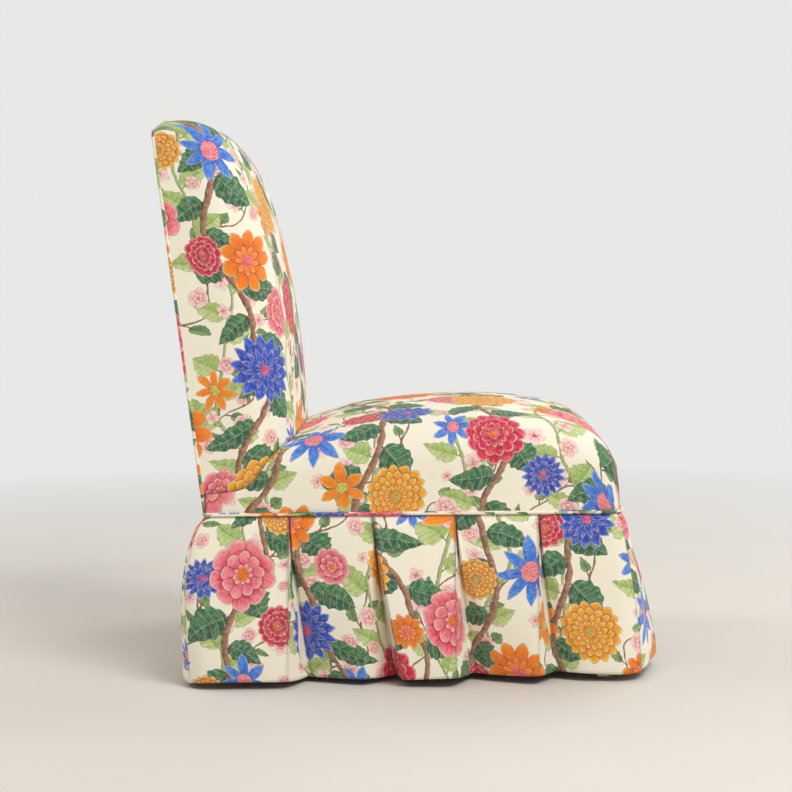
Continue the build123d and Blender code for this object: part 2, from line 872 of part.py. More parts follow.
with BuildPart() as skirt_tack_strips:
    strip_top = skirt_head_height - frame_gap
    strip_middle = (leg_rear + post_front) / 2
    strip_out = tack_strip_thickness / 2 + frame_gap
    side_strip = post_front - leg_rear
    end_strip = 2 * leg_inner_x
    for x, y, length, width in (
        (-frame_half_width - strip_out, strip_middle, tack_strip_thickness, side_strip),
        (frame_half_width + strip_out, strip_middle, tack_strip_thickness, side_strip),
        (0, frame_front - strip_out, end_strip, tack_strip_thickness),
        (0, frame_rear + strip_out, end_strip, tack_strip_thickness),
    ):
        with Locations((x, y, strip_top)):
            Box(
                length,
                width,
                tack_strip_height,
                align=(Align.CENTER, Align.CENTER, Align.MAX),
            )
write(skirt_tack_strips, "skirt_tack_strips")


# Underside

dust_half_width = frame_half_width - dust_cover_margin
dust_front = frame_front + dust_cover_margin
dust_rear = frame_rear - dust_cover_margin

with BuildPart() as dust_cover:
    with BuildSketch(Plane.XY.offset(rail_bottom - frame_gap)):
        with Locations((0, (dust_front + dust_rear) / 2)):
            Rectangle(2 * dust_half_width, dust_rear - dust_front)
        for side in (-1, 1):
            for x, y in ((leg_inner_x, leg_rear), (post_inner_x, post_front)):
                away = -1 if y < seat_middle else 1
                with Locations((side * (x - dust_cover_clearance), y - away * dust_cover_clearance)):
                    Rectangle(
                        seat_width,
                        seat_depth,
                        align=(
                            Align.MIN if side > 0 else Align.MAX,
                            Align.MIN if away > 0 else Align.MAX,
                        ),
                        mode=Mode.SUBTRACT,
                    )
    extrude(amount=-sheet_thickness)
write(dust_cover, "dust_cover")

with BuildPart() as dust_cover_staples:
    staple_top = rail_bottom - 2 * frame_gap - sheet_thickness
    side_span = post_front - leg_rear
    end_span = 2 * leg_inner_x
    for index in range(staples_per_side):
        share = (index + 0.5) / staples_per_side
        y = leg_rear + share * side_span
        x = -leg_inner_x + share * end_span
        for place, length, width in (
            ((-rail_centre_x, y), staple_wire, staple_crown),
            ((rail_centre_x, y), staple_wire, staple_crown),
            ((x, frame_front + rail_thickness / 2), staple_crown, staple_wire),
            ((x, frame_rear - rail_thickness / 2), staple_crown, staple_wire),
        ):
            with Locations((*place, staple_top)):
                Box(
                    length,
                    width,
                    staple_wire,
                    align=(Align.CENTER, Align.CENTER, Align.MAX),
                )
write(dust_cover_staples, "dust_cover_staples")
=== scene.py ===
import json
import math
from contextlib import contextmanager
from functools import partial, partialmethod
from inspect import signature

import bmesh
import bpy
import numpy as np
from mathutils import Matrix, Vector
from mathutils.bvhtree import BVHTree
from mathutils.kdtree import KDTree


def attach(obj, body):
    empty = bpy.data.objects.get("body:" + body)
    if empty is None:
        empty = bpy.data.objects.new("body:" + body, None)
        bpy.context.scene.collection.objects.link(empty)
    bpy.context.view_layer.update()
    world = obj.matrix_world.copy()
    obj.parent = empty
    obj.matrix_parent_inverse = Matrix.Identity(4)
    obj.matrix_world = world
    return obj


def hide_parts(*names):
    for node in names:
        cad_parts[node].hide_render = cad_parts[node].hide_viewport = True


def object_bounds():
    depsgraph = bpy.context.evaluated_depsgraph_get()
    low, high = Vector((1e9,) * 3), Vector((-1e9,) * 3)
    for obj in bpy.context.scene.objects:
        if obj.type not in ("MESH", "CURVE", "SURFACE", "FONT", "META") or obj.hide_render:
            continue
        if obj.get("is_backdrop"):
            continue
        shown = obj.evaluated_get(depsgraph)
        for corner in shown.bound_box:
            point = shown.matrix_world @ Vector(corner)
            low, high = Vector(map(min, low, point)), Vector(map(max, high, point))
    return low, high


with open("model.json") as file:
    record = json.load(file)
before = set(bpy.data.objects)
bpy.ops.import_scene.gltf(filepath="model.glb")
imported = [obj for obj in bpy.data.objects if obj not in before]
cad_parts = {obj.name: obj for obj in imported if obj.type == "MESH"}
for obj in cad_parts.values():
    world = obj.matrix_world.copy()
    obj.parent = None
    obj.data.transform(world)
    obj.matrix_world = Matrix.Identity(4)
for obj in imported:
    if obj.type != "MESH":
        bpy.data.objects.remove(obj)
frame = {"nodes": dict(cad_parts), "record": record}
cad_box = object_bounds()

# Sizes in millimetres, the same as the solids have. Front is -Y and left is -X.
MM = 0.001
HALF_WIDTH = 285.0
SEAT_FRONT = -340.0
SEAT_REAR = 304.0
SEAT_MIDDLE = (SEAT_FRONT + SEAT_REAR) / 2
SEAT_DEPTH = SEAT_REAR - SEAT_FRONT
SKIRT_HEAD = 262.0
SEAT_TAIL = 300.0
SEAT_CROWN = 434.0
CORNER_RADIUS = 30.0
SEAT_SHOULDER_SHARE = 0.38
SEAT_BULGE_SHARE = 0.11
TAIL_SHOULDER_SHARE = 0.14
TAIL_BULGE_SHARE = 0.05
TAIL_STARTS = 150.0
TAIL_ENDS = 285.0

BACK_LENGTH = 614.0
BACK_THICKNESS = 168.0
BACK_RAKE = math.radians(7.0)
BACK_SHOULDER = 85.0
BACK_SHOULDER_LIMIT = 0.5
BACK_BULGE_SHARE = 0.09
BACK_TOP_DROP = 10.5
BACK_CORNER_RADIUS = 26.0
BACK_TOP_DROP_DEPTH = 22.0
BACK_TOP_STARTS = 0.86 * BACK_LENGTH

# Seat profile: share of the depth from the front, share of the height from tail to crown
SEAT_PROFILE = (
    *((0.0, 0.14), (0.005, 0.335), (0.015, 0.455), (0.032, 0.59), (0.065, 0.745), (0.14, 0.905)),
    *((0.31, 1.0), (0.50, 0.97), (0.65, 0.872), (0.76, 0.705), (0.815, 0.60), (0.85, 0.46)),
    *((0.88, 0.235), (0.91, 0.09), (0.95, 0.025), (1.0, 0.0)),
)
# Back profile: share of the length up the rake, share of the thickness
BACK_PROFILE = (
    *((0.0, 0.855), (0.10, 0.92), (0.20, 0.965), (0.32, 0.99), (0.45, 1.0), (0.565, 0.985)),
    *((0.675, 0.945), (0.765, 0.90), (0.845, 0.83), (0.905, 0.745), (0.95, 0.645)),
    *((0.9735, 0.55), (0.99, 0.41), (0.9965, 0.30), (1.0, 0.215)),
)
# A point inside each hollow, from which its cloth faces away
INSIDE_SEAT = (0, SEAT_MIDDLE, 300)
INSIDE_BACK = (0, 290, 560)
INSIDE_SKIRT = (0, SEAT_MIDDLE, 130)
SIDE_STEPS = 20
TURN_STEPS = 18
CROWN_STEPS = 28


def smooth_line(points, rounds):
    """The points with one more between each pair on a smooth curve, so many times over."""
    line = np.array(points, float)
    for _ in range(rounds):
        before = np.vstack([2 * line[0] - line[1], line[:-2]])
        after = np.vstack([line[2:], 2 * line[-1] - line[-2]])
        woven = np.empty((2 * len(line) - 1, line.shape[1]))
        woven[0::2] = line
        woven[1::2] = (9 * (line[:-1] + line[1:]) - before - after) / 16
        line = woven
    return line


def eased(value, low, high):
    """0 below low, 1 above high and a smooth step between them."""
    share = np.clip((np.asarray(value, float) - low) / (high - low), 0.0, 1.0)
    return share * share * (3 - 2 * share)


def between(start, end, share):
    return start + share * (end - start)


def lengths_along(points):
    """Running length along rows of points, from the first one."""
    steps = np.linalg.norm(np.diff(points, axis=-2), axis=-1)
    start = np.zeros(steps.shape[:-1] + (1,))
    return np.concatenate([start, np.cumsum(steps, axis=-1)], axis=-1)


def half_width_at(distance, radius, widest=HALF_WIDTH):
    """Half width of a pad this far in from an edge whose corners are round."""
    short = radius - min(distance, radius)
    return widest - radius + math.sqrt(radius**2 - short**2)


def arch(width, base, crown, shoulder, bulge):
    """Points over one section from left to right: side, round shoulder, crown, shoulder, side."""
    side_top = crown - shoulder - bulge
    flat = width - shoulder
    radius = ((shoulder + bulge) ** 2 - shoulder**2 + flat**2) / (2 * bulge)
    turn = math.atan2(side_top - crown + radius, flat)
    rise = np.linspace(base, side_top, SIDE_STEPS + 1)
    side = np.column_stack([np.full_like(rise, width), rise])
    angle = np.linspace(0, turn, TURN_STEPS + 1)[1:]
    bend = np.column_stack([flat + shoulder * np.cos(angle), side_top + shoulder * np.sin(angle)])
    angle = np.linspace(turn, math.pi / 2, CROWN_STEPS + 1)[1:]
    top = np.column_stack([radius * np.cos(angle), crown - radius + radius * np.sin(angle)])
    right = np.vstack([side, bend, top])
    return np.vstack([right * (-1, 1), right[-2::-1]])


@contextmanager
def reworked(mesh):
    """The mesh in a form that can be edited, written back afterwards."""
    work = bmesh.new()
    work.from_mesh(mesh)
    yield work
    work.to_mesh(mesh)
    work.free()


def add_object(name, data):
    piece = bpy.data.objects.new(name, data)
    bpy.context.scene.collection.objects.link(piece)
    return piece


def cloth_mesh(name, grids):
    """One object from grids of points in millimetres, each with its cloth map in metres."""
    vertices = []
    faces = []
    corners = []
    count = 0
    for points, cloth in grids:
        grid = np.arange(points[..., 0].size).reshape(points.shape[:2])
        quads = np.stack([grid[:-1, :-1], grid[:-1, 1:], grid[1:, 1:], grid[1:, :-1]], axis=-1)
        quads = quads.reshape(-1, 4)
        vertices.append(points.reshape(-1, 3) * MM)
        faces.append(quads + count)
        corners.append(cloth.reshape(-1, 2)[quads])
        count += grid.size
    mesh = bpy.data.meshes.new(name)
    mesh.from_pydata(np.vstack(vertices).tolist(), [], np.vstack(faces).tolist())
    layer = mesh.uv_layers.new(name="cloth")
    layer.data.foreach_set("uv", np.concatenate(corners).astype(np.float32).ravel())
    with reworked(mesh) as work:
        bmesh.ops.remove_doubles(work, verts=work.verts, dist=0.02 * MM)
        bmesh.ops.dissolve_degenerate(work, edges=work.edges, dist=0.005 * MM)
        bmesh.ops.recalc_face_normals(work, faces=work.faces)
    mesh.polygons.foreach_set("use_smooth", [True] * len(mesh.polygons))
    mesh.update()
    return add_object(name, mesh)


def face_away(piece, inside):
    """Turns the faces so that most of them look away from a point inside, in millimetres."""
    mesh = piece.data
    away = sum((p.center - Vector(inside) * MM).dot(p.normal) * p.area for p in mesh.polygons)
    if away < 0:
        mesh.flip_normals()


def ripple(points, size, turns):
    """Gentle unevenness between -1 and 1 over points in millimetres, of about this wave length."""
    total = np.zeros(len(points))
    for index in range(turns):
        heading = 2.4 * index + 0.7
        tilt = math.sin(1.7 * index + 0.4) * 0.8
        way = np.array([math.cos(heading), math.sin(heading), tilt])
        length = size * (0.75 + 0.17 * (index % 4))
        total += np.sin(points @ way * (2 * math.pi / length) + 1.9 * index * index)
    return total / turns


def uneven(piece, amount, size):
    """Pushes the points of a cloth piece in and out a little along their normals."""
    mesh = piece.data
    points = np.array([v.co for v in mesh.vertices])
    normals = np.array([v.normal for v in mesh.vertices])
    points += normals * (ripple(points / MM, size, 7) * amount * MM)[:, None]
    mesh.vertices.foreach_set("co", points.ravel())
    mesh.update()


def keep_marks(piece, distances, reach, strengths=1.0):
    """Marks the points of a piece less than this reach away, for painted shade: the print is darkened there
    as if in shadow.
    """
    marks = strengths * (1.0 - np.minimum(np.array(distances) / (reach * MM), 1.0))
    # Painted shade: the strength of the darkening at each point, kept on the mesh for the material.
    layer = piece.data.attributes.new("fold", "FLOAT", "POINT")
    layer.data.foreach_set("value", marks)


def shade_folds(piece, lines, reach, strengths):
    """Marks the points near the lines of the folds, for painted shade inside the folds."""
    tree = KDTree(len(lines))
    for index, place in enumerate(lines):
        tree.insert(Vector(place) * MM, index)
    tree.balance()
    _, nearest, distances = zip(*[tree.find(vertex.co) for vertex in piece.data.vertices])
    keep_marks(piece, distances, reach, strengths[list(nearest)])


def shade_contact(piece, other, reach):
    """Marks the points of a piece near another piece's surface, for painted shade where the two meet."""
    mesh = other.data
    tree = BVHTree.FromPolygons([v.co for v in mesh.vertices], [tuple(p.vertices) for p in mesh.polygons])
    keep_marks(piece, [tree.find_nearest(vertex.co)[3] for vertex in piece.data.vertices], reach)


def thicken(piece, thickness, offset=-1.0):
    """Gives a cloth piece its thickness in millimetres, inwards unless told otherwise."""
    bpy.ops.object.select_all(action="DESELECT")
    piece.select_set(True)
    bpy.context.view_layer.objects.active = piece
    modifier = piece.modifiers.new("thickness", "SOLIDIFY")
    modifier.thickness = thickness * MM
    modifier.offset = offset
    bpy.ops.object.modifier_apply(modifier=modifier.name)


# Seat


def seat_turn(y, crown):
    """How far the seat's shoulder turns in, and how much its crown bulges, at a place."""
    height = crown - SKIRT_HEAD
    at_tail = eased(y, TAIL_STARTS, TAIL_ENDS)
    shoulder = between(SEAT_SHOULDER_SHARE, TAIL_SHOULDER_SHARE, at_tail) * height
    return shoulder, between(SEAT_BULGE_SHARE, TAIL_BULGE_SHARE, at_tail) * height


def seat_section(y, crown):
    return arch(half_width_at(y - SEAT_FRONT, CORNER_RADIUS), SKIRT_HEAD, crown, *seat_turn(y, crown))


def seat_line():
    """Seat profile as places from front to rear and crown heights."""
    line = smooth_line(SEAT_PROFILE, 3)
    line[:, 0] = SEAT_FRONT + line[:, 0] * SEAT_DEPTH
    line[:, 1] = SEAT_TAIL + line[:, 1] * (SEAT_CROWN - SEAT_TAIL)
    return line


def on_side(points, low=0.55, high=0.97):
    """1 on the sides of a pad, 0 on the middle of its crown, between these shares of its half width."""
    return eased(np.abs(points[..., 0]), low * HALF_WIDTH, high * HALF_WIDTH)


def pad_map(points, places, profile_lengths):
    """Cloth map of a lofted pad: across it from the middle, and along it, by its own lengths."""
    across = lengths_along(points)
    across -= across[:, across.shape[1] // 2][:, None]
    along = between(profile_lengths[:, None], places[:, None], on_side(points))
    return np.stack([across, along], axis=-1) * MM


def seat_pad():
    line = seat_line()
    top = np.array([np.insert(seat_section(y, crown), 1, y, axis=1) for y, crown in line])
    lengths = lengths_along(line)
    middle = np.argmin(np.abs(line[:, 0] - SEAT_MIDDLE))
    places = line[:, 0] - line[middle, 0]
    top_map = pad_map(top, places, lengths - lengths[middle])
    # Behind its middle the seat falls away, and the print on its sides keeps its height over the skirt.
    reach = top_map[:, -1, 0]
    slip = np.where(line[:, 0] > line[middle, 0], reach[middle] - reach, 0.0)[:, None]
    top_map[..., 0] += slip * np.sign(top[..., 0]) * on_side(top)
    # The print stands up on the left side of the seat and runs over it to the right.
    top_map = np.stack([-top_map[..., 1], top_map[..., 0]], axis=-1)

    edge = top[0, SIDE_STEPS:-SIDE_STEPS]
    edge_map = top_map[0, SIDE_STEPS:-SIDE_STEPS]
    fall = (edge[:, 2] - SKIRT_HEAD) * np.linspace(0, 1, SIDE_STEPS + 1)[:, None]
    front = edge - fall[..., None] * (0, 0, 1)
    front_map = edge_map + fall[..., None] * (MM, 0)
    piece = cloth_mesh("seat_upholstery", [(top, top_map), (front, front_map)])
    face_away(piece, INSIDE_SEAT)
    uneven(piece, amount=0.7, size=150)
    return piece


# Back

RAKE_SIN = math.sin(BACK_RAKE)
RAKE_COS = math.cos(BACK_RAKE)
TUCK_DEPTH = 2.0
TUCK_HEIGHT = 6.0
SEAM_ON_SHOULDER = 0.6


def on_back(x, depth, height):
    """Places in the shared frame from across, depth in front of the rear face and height up the rake."""
    y = SEAT_REAR + height * RAKE_SIN - depth * RAKE_COS
    z = SKIRT_HEAD + height * RAKE_COS + depth * RAKE_SIN
    return np.stack(np.broadcast_arrays(x, y, z), axis=-1)


def rounded_top(depth, height):
    """Height up the rake with the rear of the top edge turned down to the piping."""
    drop = BACK_TOP_DROP * (1 - np.minimum(depth / BACK_TOP_DROP_DEPTH, 1.0)) ** 2
    return height - drop * eased(height, BACK_TOP_STARTS, BACK_LENGTH)


def seam_height(y):
    """Height of the seat cover's edge on the sides of the back."""
    line = seat_line()
    crown = np.interp(y, line[:, 0], line[:, 1])
    shoulder, bulge = seat_turn(y, crown)
    return crown - SEAM_ON_SHOULDER * shoulder - bulge


def tucked(points):
    """The back's sides drawn in where the seat cover is pulled over them."""
    draw = TUCK_DEPTH * (1 - eased(points[..., 2] - seam_height(points[..., 1]), 0.0, TUCK_HEIGHT))
    points[..., 0] -= np.sign(points[..., 0]) * draw * on_side(points, 0.8, 0.99)
    return points


def back_pad():
    line = smooth_line(BACK_PROFILE, 4)
    line[:, 0] *= BACK_LENGTH
    line[:, 1] *= BACK_THICKNESS
    rows = []
    for height, depth in line:
        shoulder = min(BACK_SHOULDER, BACK_SHOULDER_LIMIT * depth)
        width = half_width_at(max(BACK_LENGTH - height, 0.0), BACK_CORNER_RADIUS)
        section = arch(width, 0.0, depth, shoulder, BACK_BULGE_SHARE * depth)
        rows.append(on_back(section[:, 0], section[:, 1], rounded_top(section[:, 1], height)))
    front = np.array(rows)
    front_map = pad_map(front, line[:, 0], lengths_along(line))

    edge = section[SIDE_STEPS:-SIDE_STEPS]
    edge_map = front_map[-1, SIDE_STEPS:-SIDE_STEPS]
    depth = edge[:, 1] * np.linspace(1, 0, SIDE_STEPS + 1)[:, None]
    top = on_back(edge[:, 0], depth, rounded_top(depth, BACK_LENGTH))
    top_map = edge_map + (edge[:, 1] - depth)[..., None] * (0, MM)
    piece = cloth_mesh("back_upholstery", [(tucked(front), front_map), (top, top_map)])
    face_away(piece, INSIDE_BACK)
    uneven(piece, amount=0.7, size=160)
    return piece


PIPING_RADIUS = 3.0
PIPING_RING = 12
PIPING_INSET = 2.1
PIPING_BEHIND = 1.7
PIPING_FOOT = 7.0
PIPING_TURN = 565.0


def piping_tube(name, path, closed):
    """A piped edge: bias cloth over a cord, along a path in millimetres."""
    path = np.array(path, float)
    if closed:
        path = np.vstack([path, path[:1]])
    heading = np.gradient(path, axis=0)
    if closed:
        heading[0] = heading[-1] = path[1] - path[-2]
    heading /= np.linalg.norm(heading, axis=1)[:, None]
    side = np.zeros_like(path)
    side[0] = np.cross(heading[0], (0.3, 0.2, 1.0))
    for index in range(len(path)):
        last = side[index - 1] if index else side[0]
        flat = last - heading[index] * np.dot(last, heading[index])
        side[index] = flat / np.linalg.norm(flat)
    up = np.cross(heading, side)
    if closed:
        side[-1] = side[0]
        up[-1] = up[0]
    angle = np.linspace(0, 2 * math.pi, PIPING_RING + 1)
    ring = np.cos(angle)[None, :, None] * side[:, None] + np.sin(angle)[None, :, None] * up[:, None]
    points = path[:, None] + PIPING_RADIUS * ring
    along = lengths_along(path)[:, None] + 0 * angle
    around = PIPING_RADIUS * angle + 0 * along
    piece = cloth_mesh(name, [(points, np.stack([along, around], axis=-1) * MM)])
    if not closed:
        with reworked(piece.data) as work:
            bmesh.ops.holes_fill(work, edges=[e for e in work.edges if e.is_boundary], sides=0)
            bmesh.ops.recalc_face_normals(work, faces=work.faces)
    return piece


def back_piping():
    """The piped rear edge of the back, from the left foot over the top to the right foot."""
    straight_part = np.linspace(PIPING_FOOT, PIPING_TURN - 5.0, 60)
    heights = np.concatenate([straight_part, np.linspace(PIPING_TURN, BACK_LENGTH, 40)])
    widths = np.array([half_width_at(BACK_LENGTH - height, BACK_CORNER_RADIUS) for height in heights])
    right = np.column_stack([widths, rounded_top(np.zeros_like(heights), heights)])
    across = np.linspace(-widths[-1], widths[-1], 60)[1:-1]
    top = np.column_stack([across, np.full_like(across, right[-1, 1])])
    line = np.vstack([right * (-1, 1), top, right[::-1]])
    heading = np.gradient(line, axis=0)
    heading /= np.linalg.norm(heading, axis=1)[:, None]
    inwards = np.column_stack([heading[:, 1], -heading[:, 0]])
    x, height = (line + PIPING_INSET * inwards).T
    return piping_tube("back_edge_piping", on_back(x, -PIPING_BEHIND, height), False)


WELT_HEIGHT = 265.5
WELT_OUT = 3.5
WELT_STEP = 4.0


def skirt_welt():
    """The piped seam round the head of the skirt, on a box with round corners."""
    front_turn = CORNER_RADIUS + WELT_OUT
    rear_turn = PIPING_RADIUS + 1.5
    front = SEAT_FRONT - WELT_OUT + front_turn
    rear = SEAT_REAR + WELT_OUT - rear_turn
    corners = ((1, front, front_turn), (1, rear, rear_turn), (-1, rear, rear_turn), (-1, front, front_turn))
    points = []
    for number, (hand, y, radius) in enumerate(corners):
        x = hand * (HALF_WIDTH + WELT_OUT - radius)
        for angle in np.radians(np.linspace(number * 90 - 90, number * 90, 13)):
            points.append((x + radius * math.cos(angle), y + radius * math.sin(angle)))
    points.append(points[0])
    points = np.array(points)
    lengths = lengths_along(points)
    places = np.arange(0, lengths[-1], WELT_STEP)
    ring = [np.interp(places, lengths, points[:, axis]) for axis in (0, 1)]
    path = np.column_stack([*ring, np.full(len(places), WELT_HEIGHT)])
    return piping_tube("skirt_head_welt", path, True)


PANEL_HALF_WIDTH = HALF_WIDTH - 2.5
PANEL_FOOT = 3.5
PANEL_TOP = BACK_LENGTH - BACK_TOP_DROP - 3.0
PANEL_CORNER = 19.0
PANEL_BEHIND = 2.6
PANEL_FULLNESS = 4.0
PANEL_THICKNESS = 1.2


def outside_back():
    """Cloth panel behind the back, a little full between its piped edges."""
    heights = np.linspace(PANEL_FOOT, PANEL_TOP, 80)
    shares = np.linspace(-1, 1, 61)
    rows = []
    for height in heights:
        width = half_width_at(PANEL_TOP - height, PANEL_CORNER, PANEL_HALF_WIDTH)
        middle = 1 - (2 * (height - PANEL_FOOT) / (PANEL_TOP - PANEL_FOOT) - 1) ** 2
        depth = -PANEL_BEHIND - PANEL_FULLNESS * (1 - shares**2) ** 0.7 * middle**0.7
        rows.append(on_back(shares * width, depth, np.full_like(shares, height)))
    points = np.array(rows)
    up = np.broadcast_to(heights[:, None], points.shape[:2])
    cloth = np.stack([-points[..., 0], up], axis=-1) * MM
    piece = cloth_mesh("outside_back_panel", [(points, cloth)])
    face_away(piece, INSIDE_BACK)
    uneven(piece, amount=0.35, size=140)
    thicken(piece, PANEL_THICKNESS)
    return piece


# Skirt

SKIRT_TOP = 262.7
SKIRT_CLOTH_DROP = 255.0
HEM_LIFT_AT_FRONT = 5.0
SKIRT_PROUD = 2.0
SKIRT_PUFF = 5.0
SLIT_HALF_WIDTH = 0.7
SLIT_DEPTH = 1.7
GROOVE_DEPTH = 2.4
GROOVE_DEPTH_BELOW_RAIL = 6.0
HEM_CORNER_RADIUS = 50.0
# Where a pleat's leading lip, the foot of its wall, its valley and its other lip lie at the hem
NEAR_LIP_LEADS = (-46.0, -36.0, -31.0, 16.0)
FAR_LIP_LEADS = (3.0, -27.0, -33.0, -72.0)
# How far each pleat's leading lip, valley and other lip stand out at the hem, how crisp it stays there
SIDE_FOLDS = (
    (33, -8, 8, 0.6, FAR_LIP_LEADS),
    (47, -10, 11, 0.6, FAR_LIP_LEADS),
    (40, -10, 26, 0.75, NEAR_LIP_LEADS),
    (45, -6, 9, 0.85, FAR_LIP_LEADS),
)
FRONT_FOLDS = (
    (64, -4, 70, 0.5, NEAR_LIP_LEADS),
    (58, -6, 66, 0.7, NEAR_LIP_LEADS),
    (72, -4, 76, 0.75, NEAR_LIP_LEADS),
)
REAR_FOLDS = (
    (38, -6, 42, 0.6, NEAR_LIP_LEADS),
    (42, -4, 40, 0.5, NEAR_LIP_LEADS),
    (36, -6, 42, 0.7, NEAR_LIP_LEADS),
)
# How far the hem stands out at the corners, and how soon the cloth flares on its way down
SIDE_HEM_AT_FRONT = (12.0, 1.6)
SIDE_HEM_AT_REAR = (45.0, 1.6)
FRONT_HEM = (46.0, 1.4)
REAR_HEM = (40.0, 4.0)
# Corner radius at the head, hem of the side itself and hem round the corner
SIDE_ENDS = ((30.0, SIDE_HEM_AT_FRONT, FRONT_HEM), (8.0, SIDE_HEM_AT_REAR, REAR_HEM))
FRONT_ENDS = ((30.0, FRONT_HEM, SIDE_HEM_AT_FRONT),) * 2
REAR_ENDS = ((8.0, REAR_HEM, SIDE_HEM_AT_REAR),) * 2
# Half length, corners, folds, mirrored or not, middle of the head line, direction along it
SKIRT_SIDES = {
    "left": (SEAT_DEPTH / 2, SIDE_ENDS, SIDE_FOLDS, 1, (-HALF_WIDTH, SEAT_MIDDLE), (0, 1)),
    "right": (SEAT_DEPTH / 2, SIDE_ENDS, SIDE_FOLDS, -1, (HALF_WIDTH, SEAT_MIDDLE), (0, -1)),
    "front": (HALF_WIDTH, FRONT_ENDS, FRONT_FOLDS, 1, (0, SEAT_FRONT), (-1, 0)),
    "rear": (HALF_WIDTH, REAR_ENDS, REAR_FOLDS, 1, (0, SEAT_REAR), (1, 0)),
}
TURN_COLUMNS = 9
BOX_COLUMNS = 24
RISE_COLUMNS = 16
WALL_COLUMNS = 6
SKIRT_ROWS = 48
LIP_OPENING = 1.35
# Shares of the drop over which a form comes in
PUFF_COMES = (0.0, 0.07)
GROOVE_COMES = (0.02, 0.1)
GROOVE_DEEPENS = (0.3, 0.45)
GROOVE_FADES = (0.55, 1.0)
VALLEY_COMES = (0.0, 0.5)
FOLDS_SOFTEN = (0.25, 1.0)
INSET_COMES = (0.0, 0.08)
HEM_SWAY = 2.0
HEM_WAVE = 190.0
FOLD_SOFTENING = 12
# Painted shade along the folds: its strength at the corner mitres, the share left at the hem and its reach
# in millimetres
MITRE_MARK = 0.35
MARK_AT_HEM = 0.3
MARK_REACH = 4.0
SKIRT_THICKNESS = 1.3
LINING_INSET = 4.0
LINING_SHARE = 0.95
LINING_ROWS = 30
LINING_THICKNESS = 0.6


def flared(hem_out, bell, share):
    """How far the cloth stands out at a share of the drop: puffed at the head, then falling to the hem."""
    puff = SKIRT_PUFF * eased(share, *PUFF_COMES) * (1 - share)
    return between(SKIRT_PROUD, hem_out, 1 - (1 - share) ** bell) + puff


def corner_points(half_length, end, share, way):
    """An eighth of a turn at one end of a side, from the mitre to the side."""
    head_radius, own_hem, next_hem = end
    radius = between(head_radius + SKIRT_PROUD, HEM_CORNER_RADIUS, share)
    reach = half_length + flared(*next_hem, share)
    out = flared(*own_hem, share)
    angle = np.linspace(math.pi / 4, math.pi / 2, TURN_COLUMNS)
    along = reach - radius + radius * np.cos(angle)
    return np.column_stack([way * along, out - radius + radius * np.sin(angle)])


def straight(start, end, columns):
    """Points from start to end, without the start."""
    share = np.linspace(0, 1, columns + 1)[1:, None]
    return np.array(start) + share * (np.array(end) - np.array(start))


def skirt_strips(side, share, grooved):
    """Plan points of one side at a share of the drop, where its strips end, and their crispness."""
    half_length, ends, folds = SKIRT_SIDES[side][:3]
    boxes = len(folds) + 1
    opening = share**LIP_OPENING
    bell = ends[0][1][1]
    line = [corner_points(half_length, ends[0], share, -1)]
    crisp = [np.zeros(TURN_COLUMNS)]
    ends_at = []
    here = line[0][-1]
    crisp_behind = 0.0
    for index, (lip_out, valley_out, other_out, keep, shifts) in enumerate(folds):
        slit = -half_length + (index + 1) * 2 * half_length / boxes
        groove = between(GROOVE_DEPTH, GROOVE_DEPTH_BELOW_RAIL, eased(share, *GROOVE_DEEPENS))
        groove *= grooved * eased(share, *GROOVE_COMES) * (1 - (1 - keep) * eased(share, *GROOVE_FADES))
        far_leads = shifts[0] > shifts[-1]
        way = -SLIT_HALF_WIDTH if far_leads else SLIT_HALF_WIDTH
        hems = (lip_out, min(lip_out, valley_out) - 1.0, valley_out, other_out)
        stops = []
        for number, (hem_shift, hem_out) in enumerate(zip(shifts, hems)):
            place = slit + between((number - 1) * way, hem_shift, opening)
            stops.append([place, flared(hem_out, bell, share)])
        stops[1][1] = min(stops[1][1], between(SKIRT_PROUD - SLIT_DEPTH, stops[1][1], opening)) - groove
        stops[2][1] = between(stops[0][1], stops[2][1], eased(share, *VALLEY_COMES))
        counts, wall_at = (BOX_COLUMNS, WALL_COLUMNS, WALL_COLUMNS, RISE_COLUMNS), 1
        if far_leads:
            counts, wall_at = (BOX_COLUMNS, RISE_COLUMNS, WALL_COLUMNS, WALL_COLUMNS), 2
            stops.reverse()
        for number, (stop, columns) in enumerate(zip(stops, counts)):
            if number == wall_at:
                first = sum(map(len, line)) - 1
                ends_at += [first, first + 2 * WALL_COLUMNS]
            line.append(straight(here, stop, columns))
            near = np.linspace(0, 1, columns + 1)[1:]
            if columns == WALL_COLUMNS:
                crisp.append(np.full(columns, keep))
            else:
                ahead = keep * (number == wall_at - 1)
                crisp.append(near**5 * ahead + (1 - near) ** 5 * crisp_behind)
            crisp_behind = keep if columns == WALL_COLUMNS else 0.0
            here = stop
    last = corner_points(half_length, ends[1], share, 1)[::-1]
    line.append(straight(here, last[0], BOX_COLUMNS))
    line.append(last[1:])
    near = np.linspace(0, 1, BOX_COLUMNS + 1)[1:]
    crisp.append((1 - near) ** 5 * crisp_behind)
    crisp.append(np.zeros(TURN_COLUMNS - 1))
    return np.vstack(line), ends_at, np.concatenate(crisp)[:, None]


def rounded_folds(line):
    """A plan line with its folds rounded, its two ends kept."""
    soft = line.copy()
    for _ in range(FOLD_SOFTENING):
        soft[1:-1] = (soft[:-2] + 2 * soft[1:-1] + soft[2:]) / 4
    return soft


